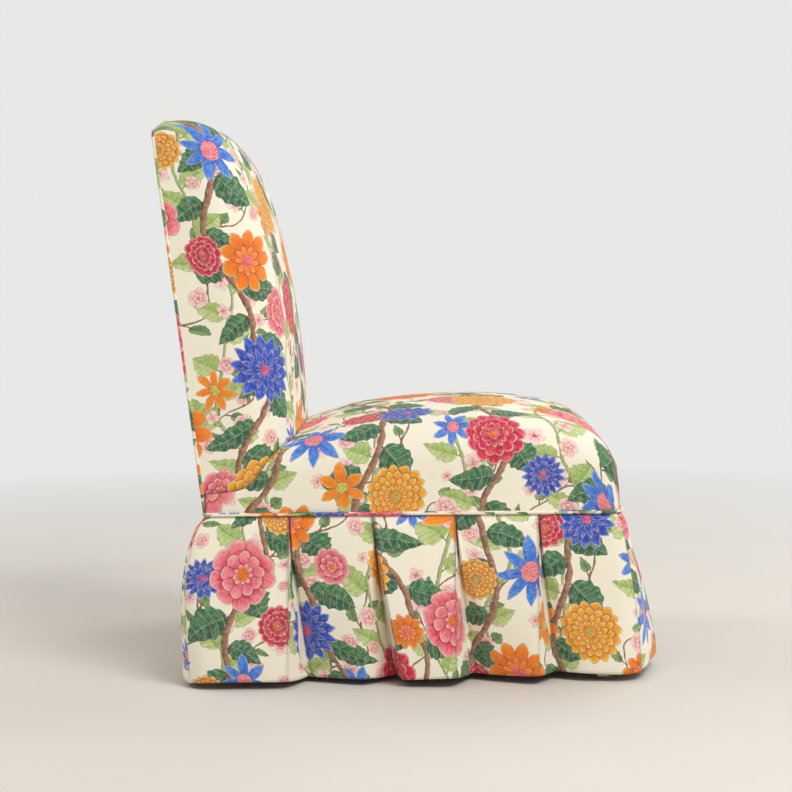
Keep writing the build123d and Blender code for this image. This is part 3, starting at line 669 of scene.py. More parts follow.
def skirt_grid(side, inset, last_share, rows):
    """Points of one side from head to hem, their way down the cloth, and the columns where strips end."""
    _, _, _, hand, (x0, y0), (dx, dy) = SKIRT_SIDES[side]
    shares = np.linspace(0, last_share, rows)
    plan = []
    for share in shares:
        line, ends_at, crisp = skirt_strips(side, share, inset == 0.0)
        plan.append(line + (rounded_folds(line) - line) * (1 - crisp) * eased(share, *FOLDS_SOFTEN))
    plan = np.array(plan)
    shares = shares[:, None]
    hem_out = plan[-1, :, 1] - plan[0, :, 1]
    drop = np.sqrt(SKIRT_CLOTH_DROP**2 - hem_out**2)
    along = plan[..., 0] * hand
    out = plan[..., 1] - inset * eased(shares, *INSET_COMES)
    sway = ripple(np.column_stack([along[-1], 0 * drop, 0 * drop]), HEM_WAVE, 5)
    # Outwards is to the right of the way along the head line.
    x = x0 + dx * along - dy * out
    y = y0 + dy * along + dx * out
    lift = HEM_LIFT_AT_FRONT * (1 - eased(y[-1], SEAT_FRONT, SEAT_REAR))
    z = SKIRT_TOP - shares * (drop - lift + HEM_SWAY * sway * shares)
    points = np.stack([x, y, z], axis=-1)
    return points, lengths_along(points.transpose(1, 0, 2)).T, ends_at


def skirt_panel(side):
    points, drops, ends_at = skirt_grid(side, 0.0, 1.0, SKIRT_ROWS)
    stops = [0, *ends_at, points.shape[1] - 1]
    grids = []
    start = 0.0
    for first, last in zip(stops, stops[1:]):
        strip = points[:, first : last + 1]
        along = lengths_along(strip)
        widths = along[:, -1]
        is_return = last - first == 2 * WALL_COLUMNS
        if not is_return:
            along = along * (widths.mean() / widths)[:, None]
        cloth = np.stack([-(start + along), -drops[:, first : last + 1]], axis=-1) * MM
        start += widths.max() if is_return else widths.mean()
        grids.append((strip, cloth))
    piece = cloth_mesh(f"skirt_panel_{side}", grids)
    # Painted shade along the corner mitres and pleat folds, fainter towards the hem.
    columns = [0, points.shape[1] - 1, *ends_at]
    folds = np.concatenate([points[:, column] for column in columns])
    marks = np.array([MITRE_MARK, MITRE_MARK, *[1.0] * len(ends_at)])
    fading = np.linspace(1.0, MARK_AT_HEM, len(points))
    shade_folds(piece, folds, MARK_REACH, np.outer(marks, fading).ravel())
    face_away(piece, INSIDE_SKIRT)
    uneven(piece, amount=0.5, size=70)
    thicken(piece, SKIRT_THICKNESS)
    return piece, start


def skirt_lining(side):
    points, drops, _ = skirt_grid(side, LINING_INSET, LINING_SHARE, LINING_ROWS)
    along = lengths_along(points)
    piece = cloth_mesh(f"skirt_panel_lining_{side}", [(points, np.stack([-along, -drops], axis=-1) * MM)])
    face_away(piece, INSIDE_SKIRT)
    thicken(piece, LINING_THICKNESS)
    return piece, along.max(axis=1).mean()


# Dust cloth: half width and ends, then the same between the notches for the legs
DUST_HALF_WIDTH = 271.0
DUST_FRONT = -326.0
DUST_REAR = 290.0
NOTCH_HALF_WIDTH = 238.0
NOTCH_FRONT = -293.0
NOTCH_REAR = 254.0
DUST_HEIGHT = 189.4
DUST_SAG = 5.0
DUST_THICKNESS = 0.5


def underside_cloth():
    """Black cloth under the seat, notched round the legs, that sags a little between its staples."""
    inner_x = np.linspace(-NOTCH_HALF_WIDTH, NOTCH_HALF_WIDTH, 41)
    inner_y = np.linspace(NOTCH_FRONT, NOTCH_REAR, 45)
    xs = np.concatenate([[-DUST_HALF_WIDTH], inner_x, [DUST_HALF_WIDTH]])
    ys = np.concatenate([[DUST_FRONT], inner_y, [DUST_REAR]])
    grid_x, grid_y = np.meshgrid(xs, ys)
    along = (2 * grid_y - DUST_FRONT - DUST_REAR) / (DUST_REAR - DUST_FRONT)
    sag = (1 - (grid_x / DUST_HALF_WIDTH) ** 2) * (1 - along**2)
    points = np.stack([grid_x, grid_y, DUST_HEIGHT - DUST_SAG * sag**0.8], axis=-1)
    piece = cloth_mesh("underside_cloth", [(points, points[..., :2] * MM)])
    with reworked(piece.data) as work:
        notches = []
        for face in work.faces:
            middle = face.calc_center_median() / MM
            if abs(middle.x) > NOTCH_HALF_WIDTH and not NOTCH_FRONT < middle.y < NOTCH_REAR:
                notches.append(face)
        bmesh.ops.delete(work, geom=notches, context="FACES")
    thicken(piece, DUST_THICKNESS, offset=0.0)
    return piece


# Shader building


class Wire:
    """A value on its way through a node tree, so that sums and products read as such."""

    def __init__(self, socket):
        self.socket = socket
        self.tree = socket.id_data

    def before(self, operation, *others):
        return figure(operation, self, *others)

    def behind(self, operation, other):
        return figure(operation, other, self)

    __add__ = partialmethod(before, "ADD")
    __radd__ = partialmethod(behind, "ADD")
    __sub__ = partialmethod(before, "SUBTRACT")
    __rsub__ = partialmethod(behind, "SUBTRACT")
    __mul__ = partialmethod(before, "MULTIPLY")
    __truediv__ = partialmethod(before, "DIVIDE")
    __abs__ = partialmethod(before, "ABSOLUTE")
    __gt__ = partialmethod(before, "GREATER_THAN")
    __lt__ = partialmethod(before, "LESS_THAN")


def feed(socket, value):
    if isinstance(value, Wire):
        value.tree.links.new(value.socket, socket)
    else:
        socket.default_value = value


def made(kind, values, output=0, **settings):
    """One output of a new shader node, its inputs fed by number or name."""
    tree = next(value.tree for value in values.values() if isinstance(value, Wire))
    node = tree.nodes.new(f"ShaderNode{kind}")
    for key, setting in settings.items():
        setattr(node, key, setting)
    for key, value in values.items():
        feed(node.inputs[key], value)
    return Wire(node.outputs[output])


def all_outputs(wire):
    """Every output of the node that a wire comes from."""
    return [Wire(socket) for socket in wire.socket.node.outputs]


def figure(operation, *values):
    return made("Math", dict(enumerate(values)), operation=operation)


floor = partial(figure, "FLOOR")
fraction = partial(figure, "FRACT")
sine = partial(figure, "SINE")
cosine = partial(figure, "COSINE")
root = partial(figure, "SQRT")
larger = partial(figure, "MAXIMUM")
smaller = partial(figure, "MINIMUM")


def step(value, low, high, from_value=0.0, to_value=1.0):
    """A clamped ramp of value between low and high."""
    return made("MapRange", dict(enumerate((value, low, high, from_value, to_value))))


def shift(factor, a, b):
    """From number a to number b."""
    return made("Mix", {0: factor, 2: a, 3: b}, data_type="FLOAT")


def dye(factor, a, b, way="MIX"):
    """From colour a to colour b."""
    return made("Mix", {0: factor, 6: a, 7: b}, 2, data_type="RGBA", blend_type=way)


def vector(x, y, z=0.0):
    return made("CombineXYZ", {0: x, 1: y, 2: z})


def parts(value):
    return all_outputs(made("SeparateXYZ", {0: value}))


def chance(x, y, z):
    """Three even random numbers for a cell."""
    return parts(made("TexWhiteNoise", {"Vector": vector(x, y, z)}, "Color", noise_dimensions="3D"))


def cloud(spot, scale, detail=2.0, rough=0.5, output="Fac"):
    values = {"Vector": spot, "Scale": scale, "Detail": detail, "Roughness": rough}
    return made("TexNoise", values, output, noise_dimensions="3D")


def place_group(tree, *values, **named):
    """One use of a node group, its inputs fed in order and by name; gives its outputs as wires."""
    return all_outputs(made("Group", {**dict(enumerate(values)), **named}, node_tree=tree))


def node_group(outputs, vectors=0, colours=0):
    """Makes a node group of a function on wires, and of the function one that places the group.

    So many inputs at the start are vectors, so many at the end are colours, and the others are numbers.
    """

    def build(function):
        tree = bpy.data.node_groups.new(function.__name__.replace("_", " "), "ShaderNodeTree")
        labels = list(signature(function).parameters)
        numbers = len(labels) - vectors - colours
        kinds = ["Vector"] * vectors + ["Float"] * numbers + ["Color"] * colours
        for label, kind in zip(labels, kinds):
            tree.interface.new_socket(label, in_out="INPUT", socket_type=f"NodeSocket{kind}")
        for label in outputs:
            kind = "Color" if label == "Color" else "Float"
            tree.interface.new_socket(label, in_out="OUTPUT", socket_type=f"NodeSocket{kind}")
        entry = tree.nodes.new("NodeGroupInput")
        results = function(*[Wire(entry.outputs[label]) for label in labels])
        ending = tree.nodes.new("NodeGroupOutput")
        for label, result in zip(outputs, results):
            feed(ending.inputs[label], result)
        return partial(place_group, tree)

    return build


def tone(red, green, blue):
    """A colour from its display values, 0 to 255."""
    linear = []
    for value in (red, green, blue):
        share = value / 255
        linear.append(share / 12.92 if share <= 0.04045 else ((share + 0.055) / 1.055) ** 2.4)
    return (*linear, 1.0)


# Print. Lengths are in metres on the cloth.

PRINTED = ("Color", "Mask")
INK = tone(84, 44, 40)
CREAM = tone(249, 243, 225)
FULL_TURN = 2 * math.pi
SOFT_EDGE = 0.0006


@node_group(PRINTED, colours=4)
def bloom(x, y, radius, turn, seed, petals, rings, scallop, point, heart_size, base, edge, heart, line):
    """A flower of overlapping rings of petals round a speckled heart."""
    away = root(x * x + y * y)
    reach = away / radius
    angle = figure("ARCTAN2", y, x) * (1 / FULL_TURN) + turn
    ringed = reach * rings
    ring = floor(ringed)
    within = ringed - ring

    def petal(which):
        """Place across a petal of one ring, how far its tip reaches, and random numbers for it."""
        place = angle * petals + which * 0.57
        number = floor(place)
        side = (place - number) * 2.0 - 1.0
        curve = 1.0 - root(larger(1.0 - side * side, 0.0))
        fall = shift(point, curve, abs(side))
        luck = chance(number, which, seed)
        return side, 1.0 - luck[0] * 0.14 - scallop * fall, luck

    side_in, tip, luck_in = petal(ring)
    side_out, _, luck_out = petal(ring + 1.0)
    beyond = within > tip
    side = shift(beyond, side_in, side_out)
    tint = shift(beyond, luck_in[1], luck_out[1])
    place = (within - beyond + scallop) / (scallop + 1.0)

    colour = dye(step(place, 0.1, 0.95), base, edge)
    streak = sine(side * 11.0 + tint * 6.0) * 0.5 + 0.5
    colour = dye(streak * step(place, 0.95, 0.3) * 0.4, colour, base)
    colour = dye(step(tint, 0.0, 1.0, 0.0, 0.3), colour, edge)
    from_tip = (tip - within) * (radius / rings)
    shadow = step(from_tip * -1.0, 0.0, 0.0035, 0.55, 0.0) * beyond
    colour = dye(shadow, colour, line)
    rim = step(from_tip, 0.0032, 0.0012) * (1.0 - beyond)
    colour = dye(rim * 0.5, colour, tone(252, 232, 214))
    line_tip = step(from_tip, 0.0011, 0.0005) * (1.0 - beyond)
    line_side = step((1.0 - abs(side)) * away * math.pi / petals, 0.0011, 0.0004)
    colour = dye(larger(line_tip, line_side) * 0.62, colour, line)

    dots = made("TexVoronoi", {"Vector": vector(x, y), "Scale": 330.0}, "Distance", voronoi_dimensions="2D")
    speckled = dye(step(dots, 0.32, 0.2) * 0.8, heart, tone(120, 70, 30))
    inside = step(reach + (luck_in[2] - 0.5) * 0.05, heart_size + 0.012, heart_size)
    return dye(inside, colour, speckled), ring + beyond < rings - 0.5


@node_group(PRINTED, colours=3)
def leaf(p, q, length, width, bend, dark, light, vein):
    """A veined leaf that lies along p from its stalk at the origin."""
    share = p / length
    inside = smaller(larger(share, 0.0), 1.0)
    across = q - bend * length * inside * (1.0 - inside)
    lobes = sine(share * 30.0) * 0.07 + 1.0
    half = width * 2.6 * root(inside) * (1.0 - inside) * lobes
    depth = half - abs(across)
    spread = abs(across) / larger(half, 0.0005)
    upper = step(across, -0.0012, 0.0012)
    colour = dye(spread * 0.35 + upper * 0.4, dark, light)
    comb = abs(fraction(share * 6.5 - abs(across) / width * 0.75) - 0.5)
    veins = larger(step(comb, 0.1, 0.03), step(abs(across), 0.0012, 0.0004))
    colour = dye(veins * 0.6, colour, vein)
    colour = dye(step(depth, 0.0014, 0.0005) * 0.75, colour, tone(34, 56, 42))
    return colour, step(depth, 0.0, SOFT_EDGE)


ALONG_STEM = 1.08
LEAF_FOOT = 0.12
STALK_LENGTH = 0.008
LEAF_MARGIN = 0.011
SHORTEST_LEAF = 0.45


@node_group(PRINTED, colours=5)
def leafy_stems(
    x, y, pitch, sway, wave, seed, stem, knots, spacing, length, width, angle, keep,
    bark, lit_bark, dark, light, vein,
):
    """Meandering stems with leaves on both sides."""
    column = x / pitch
    band = floor(column + 0.5)
    luck = chance(band, seed, 3.7)

    def waves(place):
        """Angles of the stem's two waves at a place along it."""
        turn = place * FULL_TURN / wave + luck[0] * FULL_TURN
        return turn, turn * 2.37 + luck[1] * FULL_TURN

    def wander(turn, second):
        return sway * (sine(turn) + sine(second) * 0.28)

    def steepness(turn, second):
        """Slope of the stem against its strip, and how much it stretches what grows beside it."""
        slope = sway * (cosine(turn) + cosine(second) * 0.66) * FULL_TURN / wave
        return slope, root(slope * slope + 1.0)

    here = waves(y)
    slope, stretch = steepness(*here)
    across = ((column - band) * pitch - wander(*here)) / stretch
    along = y * ALONG_STEM + across * slope * 0.5

    bumps = cloud(vector(across, along, band), 55.0, 1.0)
    thick = stem * (1.0 + knots * (bumps - 0.5) * 3.0)
    off = abs(across)
    depth = thick - off
    stem_mask = step(depth, 0.0, SOFT_EDGE)
    grain = cloud(vector(across * 5.0, along, band), 260.0)
    lit = step(across / thick + (grain - 0.5) * 1.6, -0.7, 0.7)
    stem_colour = dye(step(depth, 0.0013, 0.0005) * 0.8, dye(lit, bark, lit_bark), INK)

    right = across > 0.0
    hand = right * 2.0 - 1.0
    cells = along / spacing + right * 0.5
    cell = floor(cells)
    row = band * 2.0 + right
    luck_here = chance(cell, row, seed + 11.3)
    more_luck = chance(cell, row, seed + 29.9)
    lean = angle + (luck_here[0] - 0.5) * 0.55
    from_base = (cells - cell) * spacing - spacing * LEAF_FOOT
    run = from_base * cosine(lean) + off * sine(lean)
    aside = off * cosine(lean) - from_base * sine(lean)

    base = (cell - right * 0.5 + LEAF_FOOT) * spacing
    size = length * (0.82 + luck_here[1] * 0.3)
    base_slope = steepness(*waves(base / ALONG_STEM))[0]
    tip = base + size * (cosine(lean) - sine(lean) * hand * base_slope * 0.5)

    def room_at(place):
        """Room beside the stem, up to the edge of its strip."""
        there = waves(place / ALONG_STEM)
        return (pitch * 0.5 - wander(*there) * hand) / steepness(*there)[1]

    room = smaller(room_at(base), room_at(tip))
    size = smaller(size, (room - LEAF_MARGIN) / (sine(lean) * 1.08))
    leaf_width = width * (0.85 + more_luck[0] * 0.3)
    bend = (more_luck[1] - 0.5) * 0.5
    from_stalk = run - STALK_LENGTH
    leaf_colour, leaf_mask = leaf(from_stalk, aside, size, leaf_width, bend, dark, light, vein)
    grown = (luck_here[2] < keep) * (size > length * SHORTEST_LEAF)
    stalk = step(abs(aside), 0.0014, 0.0008) * (run > 0.0) * (run < STALK_LENGTH * 1.5) * grown
    colour = dye(stem_mask, dye(stalk, leaf_colour, bark), stem_colour)
    return colour, larger(larger(leaf_mask * grown, stalk), stem_mask)


def lattice(x, y, pitch_x, pitch_y, jitter, seed, kind_seed):
    """Cell of a half-drop lattice, two draws of random numbers for it, and the place from its middle."""
    column = x / pitch_x
    across = floor(column)
    line = y / pitch_y + fraction(across * 0.5)
    up = floor(line)
    luck = chance(across, up, seed)
    kind = chance(across, up, seed + kind_seed)
    x = (column - across - 0.5) * pitch_x + (luck[0] - 0.5) * jitter
    y = (line - up - 0.5) * pitch_y + (luck[1] - 0.5) * jitter
    return across, up, luck, kind, x, y


# Kinds of bloom: petals, rings, scallop, point, size of the heart, then the colours at a petal's foot,
# at its tip and in the heart
BLOOM_KINDS = (
    (9.0, 2.0, 0.75, 0.25, 0.2, tone(224, 78, 16), tone(252, 146, 28), tone(246, 120, 130)),
    (12.0, 4.0, 0.7, 0.1, 0.1, tone(180, 8, 52), tone(240, 84, 110), tone(246, 130, 50)),
    (7.0, 1.0, 0.62, 0.65, 0.26, tone(34, 62, 176), tone(96, 150, 232), tone(248, 150, 160)),
    (15.0, 5.0, 0.8, 0.5, 0.1, tone(236, 120, 14), tone(254, 200, 70), tone(190, 180, 80)),
    (8.0, 3.0, 0.55, 0.0, 0.17, tone(218, 26, 76), tone(252, 166, 174), tone(244, 120, 30)),
    (14.0, 3.0, 0.85, 0.8, 0.12, tone(28, 42, 148), tone(74, 116, 222), tone(240, 100, 130)),
    (6.0, 1.0, 0.72, 0.5, 0.2, tone(226, 64, 18), tone(252, 158, 46), tone(206, 204, 100)),
)


@node_group(PRINTED)
def bloom_field(x, y, pitch_x, pitch_y, jitter, radius, keep, seed):
    """Blooms of all kinds, one to a cell of a half-drop lattice."""
    across, up, luck, kind, x, y = lattice(x, y, pitch_x, pitch_y, jitter, seed, 17.0)
    order = fraction((across * 3.0 + up * 2.0 + seed) / 7.0 + 0.07)

    def pick(values):
        """The value for this cell's kind of bloom."""
        mixer = dye if isinstance(values[0], tuple) else shift
        result = values[0]
        for index, value in enumerate(values[1:]):
            result = mixer(order > (index + 1) / len(values), result, value)
        return result

    petals, *looks = map(pick, zip(*BLOOM_KINDS))
    petals = floor(petals + kind[2] * 2.0)
    radius = radius * (0.88 + luck[2] * 0.24)
    colour, mask = bloom(x, y, radius, kind[1], luck[0] * 50.0, petals, *looks, INK)
    return colour, mask * (luck[2] < keep)


@node_group(PRINTED)
def blossom_sprays(x, y, pitch, radius, seed):
    """Small pale blossoms and buds, scattered in loose sprays."""
    across, up, luck, kind, x, y = lattice(x, y, pitch, pitch, 0.014, seed, 5.0)
    petals = floor(kind[1] * 2.5 + 4.0)
    rings = floor(kind[2] * 1.6 + 1.0)
    radius = radius * (0.6 + luck[2] * 0.6)
    looks = {
        "scallop": 0.45,
        "point": 0.1,
        "heart_size": 0.16,
        "base": dye(kind[1], tone(232, 120, 138), tone(244, 176, 176)),
        "edge": tone(252, 230, 224),
        "heart": dye(kind[2], tone(212, 84, 104), tone(226, 190, 110)),
        "line": tone(204, 112, 118),
    }
    colour, mask = bloom(x, y, radius, kind[0], luck[0] * 30.0, petals, rings, **looks)
    sprays = cloud(vector(across * 0.31, up * 0.31, seed), 1.0, 1.0)
    return colour, mask * (sprays > 0.47)


# Layers of stems: pitch, sway and wave of a stem, seed, its half thickness and knots; spacing, length,
# width, angle and share of its leaves; colours of its bark, the lit bark, a leaf's dark side, light side
# and veins
TWIGS = (
    *(0.125, 0.022, 0.19, 15.0, 0.0016, 0.5),
    *(0.05, 0.026, 0.0075, 0.8, 0.8),
    *(tone(116, 76, 62), tone(168, 122, 98)),
    *(tone(92, 132, 80), tone(146, 176, 112), tone(70, 104, 66)),
)
PALE_STEMS = (
    *(0.145, 0.021, 0.31, 4.0, 0.0028, 0.15),
    *(0.088, 0.056, 0.0185, 0.95, 0.95),
    *(tone(128, 148, 84), tone(190, 204, 138)),
    *(tone(160, 184, 104), tone(216, 226, 164), tone(104, 140, 76)),
)
BRANCHES = (
    *(0.178, 0.03, 0.4, 9.0, 0.0052, 0.45),
    *(0.094, 0.068, 0.0215, 0.9, 0.95),
    *(tone(112, 72, 58), tone(178, 132, 104)),
    *(tone(22, 78, 54), tone(70, 128, 86), tone(136, 176, 124)),
)
# Layers of blooms: pitch across and up, jitter, radius, share kept, seed
SMALLER_BLOOMS = (0.152, 0.176, 0.045, 0.035, 0.97, 3.0)
LARGER_BLOOMS = (0.152, 0.176, 0.03, 0.053, 1.0, 6.0)
SATURATION = 1.1
# How far the print drifts slowly and wobbles finely, and where it starts
DRIFT = 0.035
WOBBLE = 0.004
PRINT_START = (7.31, 5.17)


@node_group(("Color",), vectors=1)
def flower_print(spot):
    """The flower print: cream ground, stems with leaves, blossoms and blooms over each other."""
    drift = parts(cloud(spot, 7.0, 1.0, output="Color"))
    wobble = parts(cloud(spot, 70.0, 1.0, output="Color"))
    x, y, _ = parts(spot)
    x = x + (drift[0] - 0.5) * DRIFT + (wobble[0] - 0.5) * WOBBLE + PRINT_START[0]
    y = y + (drift[1] - 0.5) * DRIFT + (wobble[1] - 0.5) * WOBBLE + PRINT_START[1]
    layers = (
        leafy_stems(x * 0.8 - y * 0.6 + 0.055, x * 0.6 + y * 0.8, *TWIGS),
        leafy_stems(x + 0.1, y, *PALE_STEMS),
        blossom_sprays(x, y, pitch=0.047, radius=0.0152, seed=2.0),
        leafy_stems(x, y * -1.0, *BRANCHES),
        bloom_field(x - 0.045, y + 0.09, *SMALLER_BLOOMS),
        bloom_field(x + 0.03, y, *LARGER_BLOOMS),
    )
    colour = dye(cloud(spot, 30.0), CREAM, tone(246, 238, 217))
    printed = 0.0
    for layer_colour, mask in layers:
        colour = dye(mask, colour, layer_colour)
        printed = larger(mask, printed)
    wash = cloud(spot, 120.0, 4.0, 0.65)
    colour = dye(step(wash, 0.45, 0.75) * printed * 0.24, colour, CREAM)
    colour = dye(step(wash, 0.5, 0.28) * printed * 0.2, colour, INK, "MULTIPLY")
    return [made("HueSaturation", {"Saturation": SATURATION, "Color": colour})]


@node_group(("Height", "Shade"), vectors=1)
def weave(cloth, threads):
    """Plain weave: threads over and under each other, as a height, and a tone that is partly painted light,
    lighter on the thread crowns and darker between them, and partly the yarn's own slub.
    """
    x, y, _ = parts(cloth)
    warp = x * threads
    weft = y * threads
    over = fraction((floor(warp) + floor(weft)) * 0.5) * 2.0
    height = shift(over, sine(fraction(warp) * math.pi), sine(fraction(weft) * math.pi))
    slub = cloud(vector(x * 40.0, y * 700.0), 1.0)
    # The tone: painted highlight on the thread crowns and painted shade between them, mixed with the yarn's
    # slub.
    return height * 0.8 + slub * 0.4, height * 0.5 + slub * 0.5


# Materials

PRINT_THREADS = 1500.0


def new_material(name):
    material = bpy.data.materials.new(name)
    material.use_nodes = True
    return material, material.node_tree.nodes


def object_place(nodes):
    return Wire(nodes.new("ShaderNodeTexCoord").outputs["Object"])


def set_shader(nodes, colour, rough, height, distance, strength, **constants):
    """Sets the colour, roughness and bump of a material's shader, and constants on its own sockets."""
    shader = nodes["Principled BSDF"]
    feed(shader.inputs["Base Color"], colour)
    feed(shader.inputs["Roughness"], rough)
    bump = made("Bump", {"Strength": strength, "Distance": distance, "Height": height})
    feed(shader.inputs["Normal"], bump)
    for label, value in constants.items():
        shader.inputs[label.replace("_", " ")].default_value = value


def print_cotton(name, turn, move):
    """Printed cotton, its print turned and moved on the cloth."""
    material, nodes = new_material(name)
    map_node = nodes.new("ShaderNodeUVMap")
    map_node.uv_map = "cloth"
    cloth = Wire(map_node.outputs[0])
    moved = made("Mapping", {"Vector": cloth, "Location": (*move, 0), "Rotation": (0, 0, turn)})
    height, shade = weave(cloth, PRINT_THREADS)
    # The print is lightened a little on the thread crowns, a painted highlight, and by the yarn's slub.
    colour = dye(shade * 0.05, flower_print(moved)[0], tone(255, 250, 238))
    # Painted shade: the print is darkened towards brown at the points marked for it, inside the folds and
    # where the seat meets the back.
    fold = nodes.new("ShaderNodeAttribute")
    fold.attribute_name = "fold"
    colour = dye(Wire(fold.outputs["Fac"]) * 0.68, colour, tone(70, 56, 48))
    sheen = {"Specular_IOR_Level": 0.3, "Sheen_Weight": 0.12, "Sheen_Roughness": 0.5}
    set_shader(nodes, colour, shade * 0.12 + 0.8, height, 0.00012, 0.6, **sheen)
    return material


def plain_cloth(name, dark, light, threads, bump, rough):
    """Unprinted cloth on the piece's own coordinates."""
    material, nodes = new_material(name)
    place = object_place(nodes)
    x, y, z = parts(place)
    height, shade = weave(vector(x + y * 0.7, z + y * 0.3), threads)
    # Painted highlight on the thread crowns and painted shade between them, with the yarn's slub and a
    # random tone.
    colour = dye(shade * 0.6 + cloud(place, 14.0, 3.0) * 0.4, dark, light)
    set_shader(nodes, colour, shade * 0.1 + rough, height, bump, 0.7, Sheen_Weight=0.1)
    return material


def frame_wood():
    material, nodes = new_material("pale_frame_wood")
    x, y, z = parts(object_place(nodes))
    rings = cloud(vector(x * 9.0, y * 9.0, z * 0.8), 9.0, 4.0, 0.55)
    fibre = cloud(vector(x * 40.0, y * 40.0, z * 2.0), 20.0, 3.0)
    band = sine(rings * 40.0) * 0.5 + 0.5
    colour = dye(band * 0.7 + fibre * 0.3, tone(196, 156, 108), tone(226, 192, 146))
    set_shader(nodes, colour, fibre * 0.2 + 0.42, fibre, 0.0002, 0.4)
    return material


def metal(name, dark, light, rough):
    material, nodes = new_material(name)
    scuff = cloud(object_place(nodes), 300.0, 4.0)
    set_shader(nodes, dye(scuff, dark, light), scuff * 0.2 + rough, scuff, 0.00005, 0.3, Metallic=1.0)
    return material


def grainy(name, dark, light, scale, bump, rough):
    """Foam, card and moulded nylon: a fine grain in two tones."""
    material, nodes = new_material(name)
    grain = cloud(object_place(nodes), scale, 3.0, 0.6)
    set_shader(nodes, dye(step(grain, 0.3, 0.7), dark, light), grain * 0.15 + rough, grain, bump, 0.6)
    return material


SLOT_FINISH = {
    "frame_wood": frame_wood(),
    "zinc_steel": metal("zinc_plate", tone(150, 150, 152), tone(205, 205, 208), 0.3),
    "spring_steel": metal("tempered_wire", tone(62, 62, 66), tone(104, 104, 110), 0.35),
    "glide_plastic": grainy("brown_nylon", tone(104, 78, 52), tone(134, 104, 72), 900.0, 0.00004, 0.4),
    "hessian": plain_cloth("hessian", tone(132, 106, 70), tone(190, 162, 116), 420.0, 0.0004, 0.85),
    "webbing": plain_cloth("jute_webbing", tone(108, 88, 62), tone(166, 142, 104), 600.0, 0.0003, 0.85),
    "foam": grainy("cushion_foam", tone(216, 200, 148), tone(240, 228, 184), 1400.0, 0.0003, 0.85),
    "lining_cotton": plain_cloth(
        "cream_sateen", tone(224, 214, 192), tone(242, 236, 220), 2200.0, 0.00008, 0.6
    ),
    "tack_card": grainy("tack_card", tone(146, 122, 92), tone(178, 154, 122), 600.0, 0.0002, 0.85),
    "dust_cloth": plain_cloth("black_dust_cloth", tone(30, 30, 32), tone(58, 58, 62), 1300.0, 0.0001, 0.85),
    "print_cotton": print_cotton("print_cotton", 0.0, (0.0, 0.0)),
    "piping_cotton": print_cotton("piping_cotton", math.radians(45), (0.31, 0.12)),
}

for subpart in frame["record"]["subparts"]:
    slots = frame["nodes"][subpart["node"]].data.materials
    slots.clear()
    slots.append(SLOT_FINISH[subpart["material_slot"]])


def settle(piece, finish, slot_name, *stands_for):
    """Gives a piece its finish and its place on the frame, and hides the solids that it stands for."""
    piece.data.materials.clear()
    piece.data.materials.append(finish)
    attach(piece, "root")
    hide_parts(*stands_for)


seat = seat_pad()
settle(seat, print_cotton("print_seat", 0.0, (0.05, 0.21)), "print_cotton", "seat_cover")

back = back_pad()
settle(back, print_cotton("print_back", 0.0, (0.47, 0.08)), "print_cotton", "inside_back_cover")
# Painted shade on the back along the edge where the seat cover lies against it.
shade_contact(back, seat, reach=7.0)

piping = back_piping()
settle(piping, SLOT_FINISH["piping_cotton"], "piping_cotton", "back_piping")

welt = skirt_welt()
settle(welt, SLOT_FINISH["piping_cotton"], "piping_cotton", "seat_welt")

rear_panel = outside_back()
rear_print = print_cotton("print_outside_back", 0.0, (0.8, 0.33))
settle(rear_panel, rear_print, "print_cotton", "outside_back_cover")

# Where the print starts on each side of the skirt
PRINT_MOVES = {"left": (0.1, 0.02), "right": (0.42, 0.3), "front": (0.7, 0.1), "rear": (0.25, 0.4)}
for side, move in PRINT_MOVES.items():
    panel, panel_length = skirt_panel(side)
    settle(panel, print_cotton(f"print_skirt_{side}", 0.0, move), "print_cotton", f"skirt_{side}")
    lining, lining_length = skirt_lining(side)
    settle(lining, SLOT_FINISH["lining_cotton"], "lining_cotton", f"skirt_lining_{side}")

dust = underside_cloth()
settle(dust, SLOT_FINISH["dust_cloth"], "dust_cloth", "dust_cover")


# Floor, light and camera

BACKGROUND = tone(232, 232, 231)
DAYLIGHT = (1.0, 0.99, 0.97, 1.0)
DAYLIGHT_STRENGTH = 0.42
# Name, place, size and power of each lamp, and where they all look
LAMPS = (
    ("key_light", (-2.2, -1.4, 3.0), 2.0, 86.0),
    ("fill_light", (2.0, -2.2, 2.1), 2.4, 34.0),
    ("rear_light", (0.6, 2.6, 2.4), 2.2, 34.0),
)
LAMP_AIM = Vector((0, 0, 0.4))
FADE_STARTS = 1.1
FADE_ENDS = 3.2
# The photograph's camera: place in metres, lens in millimetres, angles in degrees
CAMERA_PLACE = (-3.116, 0.0345, 0.6178)
CAMERA_LENS = 83.5
CAMERA_SWING = 0.517
CAMERA_DIP = 3.444
CAMERA_ROLL = -0.406


def looking(place, heading):
    """A lamp or camera at a place, looking this way."""
    return Matrix.Translation(place) @ heading.to_track_quat("-Z", "Y").to_matrix().to_4x4()


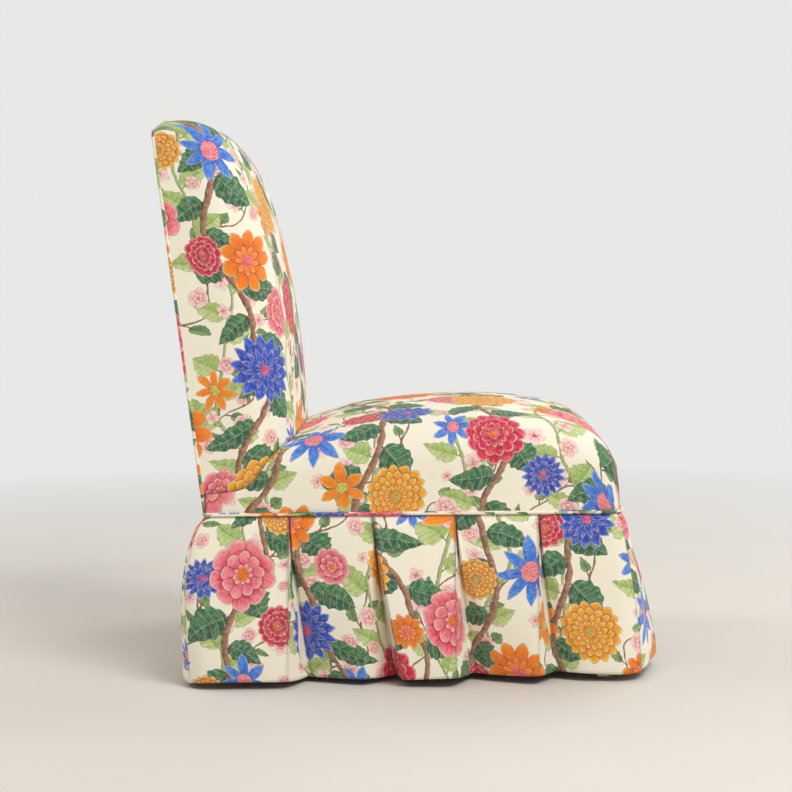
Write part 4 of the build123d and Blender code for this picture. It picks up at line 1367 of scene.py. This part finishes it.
def studio():
    bpy.ops.object.select_all(action="DESELECT")
    bpy.ops.mesh.primitive_plane_add(size=24.0, location=(0, 0, 0))
    floor_piece = bpy.context.object
    floor_piece.name = "studio_floor"
    material, nodes = new_material("studio_floor")
    place = object_place(nodes)
    shader = nodes["Principled BSDF"]
    feed(shader.inputs["Base Color"], dye(cloud(place, 3.0, 3.0), tone(213, 207, 198), tone(219, 214, 206)))
    shader.inputs["Roughness"].default_value = 0.7
    # Far from the chair the floor fades into the background, for the camera alone.
    x, y, _ = parts(place)
    far = step(root(x * x + y * y), FADE_STARTS, FADE_ENDS)
    seen = Wire(nodes.new("ShaderNodeLightPath").outputs["Is Camera Ray"])
    glow = nodes.new("ShaderNodeEmission")
    glow.inputs["Color"].default_value = BACKGROUND
    both = made("MixShader", {0: far * seen, 1: Wire(shader.outputs[0]), 2: Wire(glow.outputs[0])})
    feed(nodes["Material Output"].inputs["Surface"], both)
    floor_piece.data.materials.append(material)
    floor_piece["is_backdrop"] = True

    world = bpy.data.worlds.new("studio_world")
    bpy.context.scene.world = world
    world.use_nodes = True
    nodes = world.node_tree.nodes
    nodes.clear()
    light, seen = (nodes.new("ShaderNodeBackground") for _ in range(2))
    light.inputs["Color"].default_value = DAYLIGHT
    light.inputs["Strength"].default_value = DAYLIGHT_STRENGTH
    seen.inputs["Color"].default_value = BACKGROUND
    seen.inputs["Strength"].default_value = 1.0
    path = nodes.new("ShaderNodeLightPath")
    rays = Wire(path.outputs["Is Camera Ray"])
    for label in ("Is Glossy Ray", "Is Transmission Ray"):
        rays = larger(rays, Wire(path.outputs[label]))
    both = made("MixShader", {0: rays, 1: Wire(light.outputs[0]), 2: Wire(seen.outputs[0])})
    feed(nodes.new("ShaderNodeOutputWorld").inputs["Surface"], both)

    for name, place, size, power in LAMPS:
        lamp_data = bpy.data.lights.new(name, "AREA")
        lamp_data.shape = "DISK"
        lamp_data.size = size
        lamp_data.energy = power
        lamp = add_object(name, lamp_data)
        lamp.matrix_world = looking(place, LAMP_AIM - Vector(place))


def photo_camera():
    """The camera of the photograph, fitted to the chair's outline."""
    camera_data = bpy.data.cameras.new("photo_camera")
    camera_data.lens = CAMERA_LENS
    camera_data.sensor_width = 36.0
    camera = add_object("photo_camera", camera_data)
    swing = math.radians(CAMERA_SWING)
    dip = math.radians(CAMERA_DIP)
    level = math.cos(dip)
    heading = Vector((math.cos(swing) * level, -math.sin(swing) * level, -math.sin(dip)))
    roll = Matrix.Rotation(math.radians(CAMERA_ROLL), 4, "Z")
    camera.matrix_world = looking(CAMERA_PLACE, heading) @ roll
    bpy.context.scene.camera = camera


studio()
photo_camera()
bpy.context.scene.view_settings.view_transform = "Standard"

boxes = {"cad": cad_box, "visual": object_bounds()}
